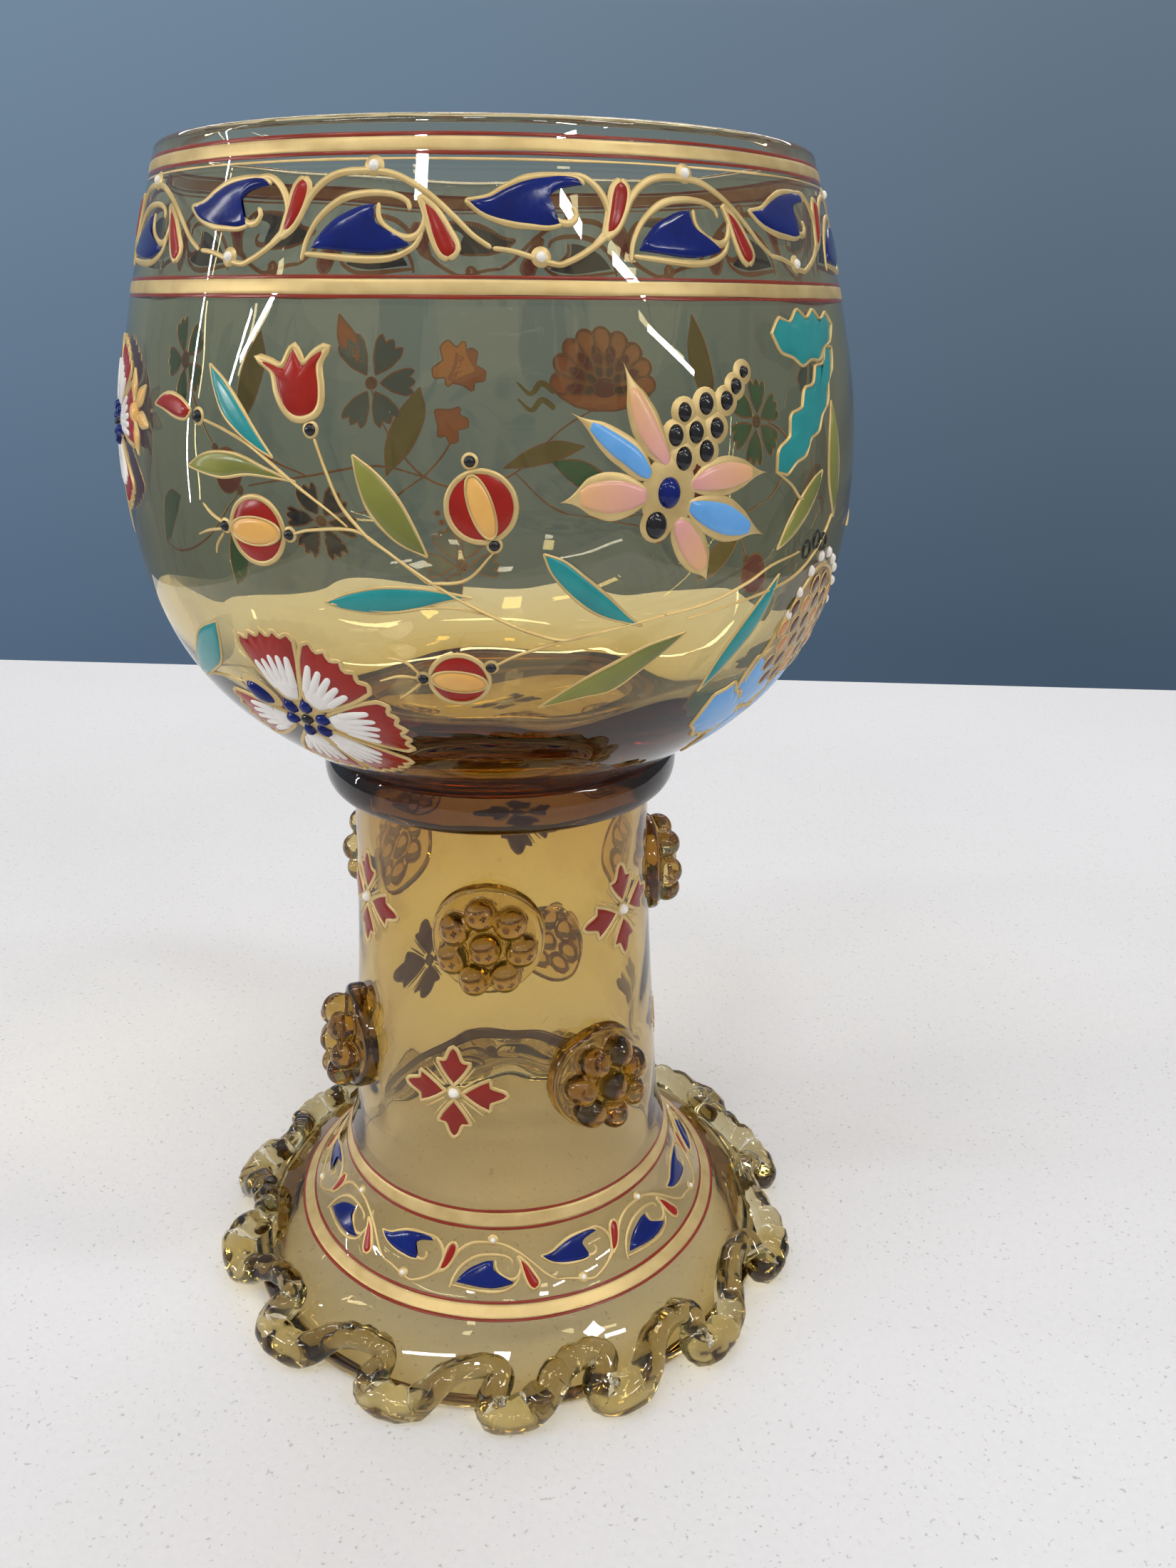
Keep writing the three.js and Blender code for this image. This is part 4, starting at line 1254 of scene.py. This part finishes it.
paint.fired("stem_flowers", palette)


# Table and room
# The glass stands on a pale table top. Behind it is a plain blue-grey wall, which the glass
# shows too. A soft lamp hangs over the table, and small ones and long tubes at the ceiling.
TABLE_HALF = 0.3116
TABLE_TURN = -8.05
TABLE_THICK = 0.03
TABLE_GAP = 0.18
WALL_HEIGHTS = (0.0, 0.375, 0.595, 0.8)
SUNNY = (srgb(74, 93, 115), srgb(82, 102, 125), srgb(116, 138, 159), srgb(190, 192, 192))
SHADY = (srgb(62, 78, 94), srgb(68, 85, 103), srgb(101, 118, 134), srgb(180, 182, 182))
ROOM_LIGHT = 0.42
LAMP_AIM = (0, 0, 0.1)
SOFT_PLACE = (-0.35, -0.35, 1.0)
SOFT_AIM = (0, 0, 0.05)
SOFT_SIZE = 0.9
SOFT_POWER = 1.7
CEILING = 1.5
TUBE_WIDTH = 0.06
TUBES = [
    ((-3.6, 0.5), (-8.4, 1.4), 50),
    ((-3.5, -1.1), (-4.5, -1.0), 16),
    ((-4.9, -0.8), (-6.2, -0.8), 20),
    ((0.8, -1.8), (1.05, -1.88), 2.8),
    ((1.6, -1.9), (2.1, -1.92), 5.6),
    ((2.75, -2.25), (3.85, -2.3), 13),
    ((0.8, -0.56), (1.0, -0.5), 2.4),
    ((-1.3, -0.7), (-0.5, -0.72), 4.8),
    ((-0.2, 1.0), (0.9, 1.0), 4.8),
    ((-2.2, 2.4), (2.2, 2.4), 13),
]
SPOT_WIDTH = 0.14
SPOT_POWER = 1.75
SPOTS = [(0.5, -1.5), (-0.75, -1.7), (-0.1, -0.75), (0.66, -0.48)]

bm = bmesh.new()
bmesh.ops.create_cube(bm, size=1.0)
bmesh.ops.scale(bm, vec=(2 * TABLE_HALF, 2 * TABLE_HALF, TABLE_THICK), verts=bm.verts)
bmesh.ops.translate(bm, vec=(0, 0, -TABLE_THICK / 2 - TABLE_GAP * MM), verts=bm.verts)
bmesh.ops.rotate(bm, matrix=Matrix.Rotation(math.radians(TABLE_TURN), 3, "Z"), verts=bm.verts)
mesh = bpy.data.meshes.new("table_top")
bm.to_mesh(mesh)
bm.free()
table = bpy.data.objects.new("table_top", mesh)
bpy.context.scene.collection.objects.link(table)
board = Finish("pale_board")
place = board.node("TexCoord", out="Object")
cloud = board.node("TexNoise", {}, {"Vector": place, "Scale": 9.0, "Detail": 6.0})
fleck = board.node("TexNoise", {}, {"Vector": place, "Scale": 900.0, "Detail": 2.0})
tone = board.mix(cloud * 0.6 + fleck * 0.4, srgb(210, 209, 210), srgb(228, 227, 228))
grain = board.node("TexNoise", {}, {"Vector": place, "Scale": 1500.0, "Detail": 3.0})
speck = board.node("ValToRGB", {"stops": [(0.64, (0, 0, 0, 1)), (0.72, (1, 1, 1, 1))]}, {0: grain})
tone = board.mix(speck, tone, srgb(186, 184, 182))
rough = board.node("Bump", {}, {"Height": fleck, "Strength": 0.6, "Distance": 0.0001})
body = board.node("BsdfPrincipled", {}, {"Base Color": tone, "Roughness": 0.75, "Normal": rough})
board.node("OutputMaterial", {}, {"Surface": body})
mesh.materials.append(board.material)

world = bpy.data.worlds.new("room")
bpy.context.scene.world = world
world.use_nodes = True
room = Finish("room", world.node_tree)
camera_ray = room.node("LightPath", out="Is Camera Ray")
glossy_ray = room.node("LightPath", out="Is Glossy Ray")
glass_ray = room.node("LightPath", out="Is Transmission Ray")
seen = camera_ray.math("MAXIMUM", glossy_ray).math("MAXIMUM", glass_ray)
direction = room.node("TexCoord", out="Generated")
rise = room.node("SeparateXYZ", {}, {0: direction}, out="Z")
front = room.node("SeparateXYZ", {}, {0: direction}, out="Y") * -0.5 + 0.5
aside = room.node("SeparateXYZ", {}, {0: direction}, out="X")
walls = []
for tones in (SUNNY, SHADY):
    stops = list(zip(WALL_HEIGHTS, tones))
    walls.append(room.node("ValToRGB", {"stops": stops}, {0: rise * 0.5 + 0.5}))
wall = room.mix(aside * 1.3 + 0.45, *walls)
near = room.mix(front * 0.8, wall, srgb(196, 192, 184))
wall = room.mix(glossy_ray, wall, near)
light = room.node("Background", {}, {"Color": srgb(245, 246, 250), "Strength": ROOM_LIGHT})
shown = room.node("Background", {}, {"Color": wall, "Strength": 1.0})
room.node("OutputWorld", {}, {"Surface": room.node("MixShader", {}, {0: seen, 1: light, 2: shown})})


def lamp(name, place, towards, size, power):
    """A flat lamp that the camera doesn't see."""
    data = bpy.data.lights.new(name, "AREA")
    data.shape = "RECTANGLE"
    data.size = size[0]
    data.size_y = size[1]
    data.energy = power
    obj = bpy.data.objects.new(name, data)
    obj.location = place
    obj.rotation_euler = (Vector(towards) - Vector(place)).to_track_quat("-Z", "Y").to_euler()
    obj.visible_camera = False
    bpy.context.scene.collection.objects.link(obj)
    return obj


for k, (x, y) in enumerate(SPOTS):
    lamp(f"spot_{k}", (x, y, CEILING), LAMP_AIM, (SPOT_WIDTH, SPOT_WIDTH), SPOT_POWER)
soft = lamp("soft_top", SOFT_PLACE, SOFT_AIM, (SOFT_SIZE, SOFT_SIZE), SOFT_POWER)
soft.visible_glossy = False
soft.visible_transmission = False
for k, (start, end, power) in enumerate(TUBES):
    start, end = Vector((*start, CEILING)), Vector((*end, CEILING))
    middle = (start + end) / 2
    tube = lamp(f"tube_{k}", middle, LAMP_AIM, (TUBE_WIDTH, (end - start).length), power)
    down = (middle - Vector(LAMP_AIM)).normalized()
    along = (end - start).normalized()
    across = along.cross(down).normalized()
    turned_down = Matrix((across, down.cross(across), down)).transposed().to_4x4()
    tube.matrix_world = Matrix.Translation(middle) @ turned_down


# Camera
# A phone's main camera, held close to the glass a little below its rim, and tilted down.
# Light may pass or bounce as often as it takes to get through the glass and its beads.
FOCAL_PIXELS = 1735.6
IMAGE_HEIGHT = 2200
SENSOR_HEIGHT = 36
CAMERA_PLACE = (0, -163.4, 137.32)
PITCH = 0.36993
YAW = 0.07416
ROLL = 0.00757
BOUNCES = 24
GLOSSY_BOUNCES = 8

data = bpy.data.cameras.new("camera")
data.sensor_fit = "VERTICAL"
data.sensor_height = SENSOR_HEIGHT
data.lens = FOCAL_PIXELS / IMAGE_HEIGHT * SENSOR_HEIGHT
data.clip_start = 0.01
camera = bpy.data.objects.new("camera", data)
bpy.context.scene.collection.objects.link(camera)
forward = Vector((math.sin(YAW) * math.cos(PITCH), math.cos(YAW) * math.cos(PITCH), -math.sin(PITCH)))
level = Vector((math.cos(YAW), -math.sin(YAW), 0))
above = level.cross(forward)
right = math.cos(ROLL) * level + math.sin(ROLL) * above
up = math.cos(ROLL) * above - math.sin(ROLL) * level
pose = Matrix((right, up, -forward)).transposed().to_4x4()
pose.translation = Vector(CAMERA_PLACE) * MM
camera.matrix_world = pose
scene = bpy.context.scene
scene.camera = camera
scene.view_settings.view_transform = "Standard"
scene.cycles.max_bounces = BOUNCES
scene.cycles.transmission_bounces = BOUNCES
scene.cycles.transparent_max_bounces = BOUNCES
scene.cycles.glossy_bounces = GLOSSY_BOUNCES
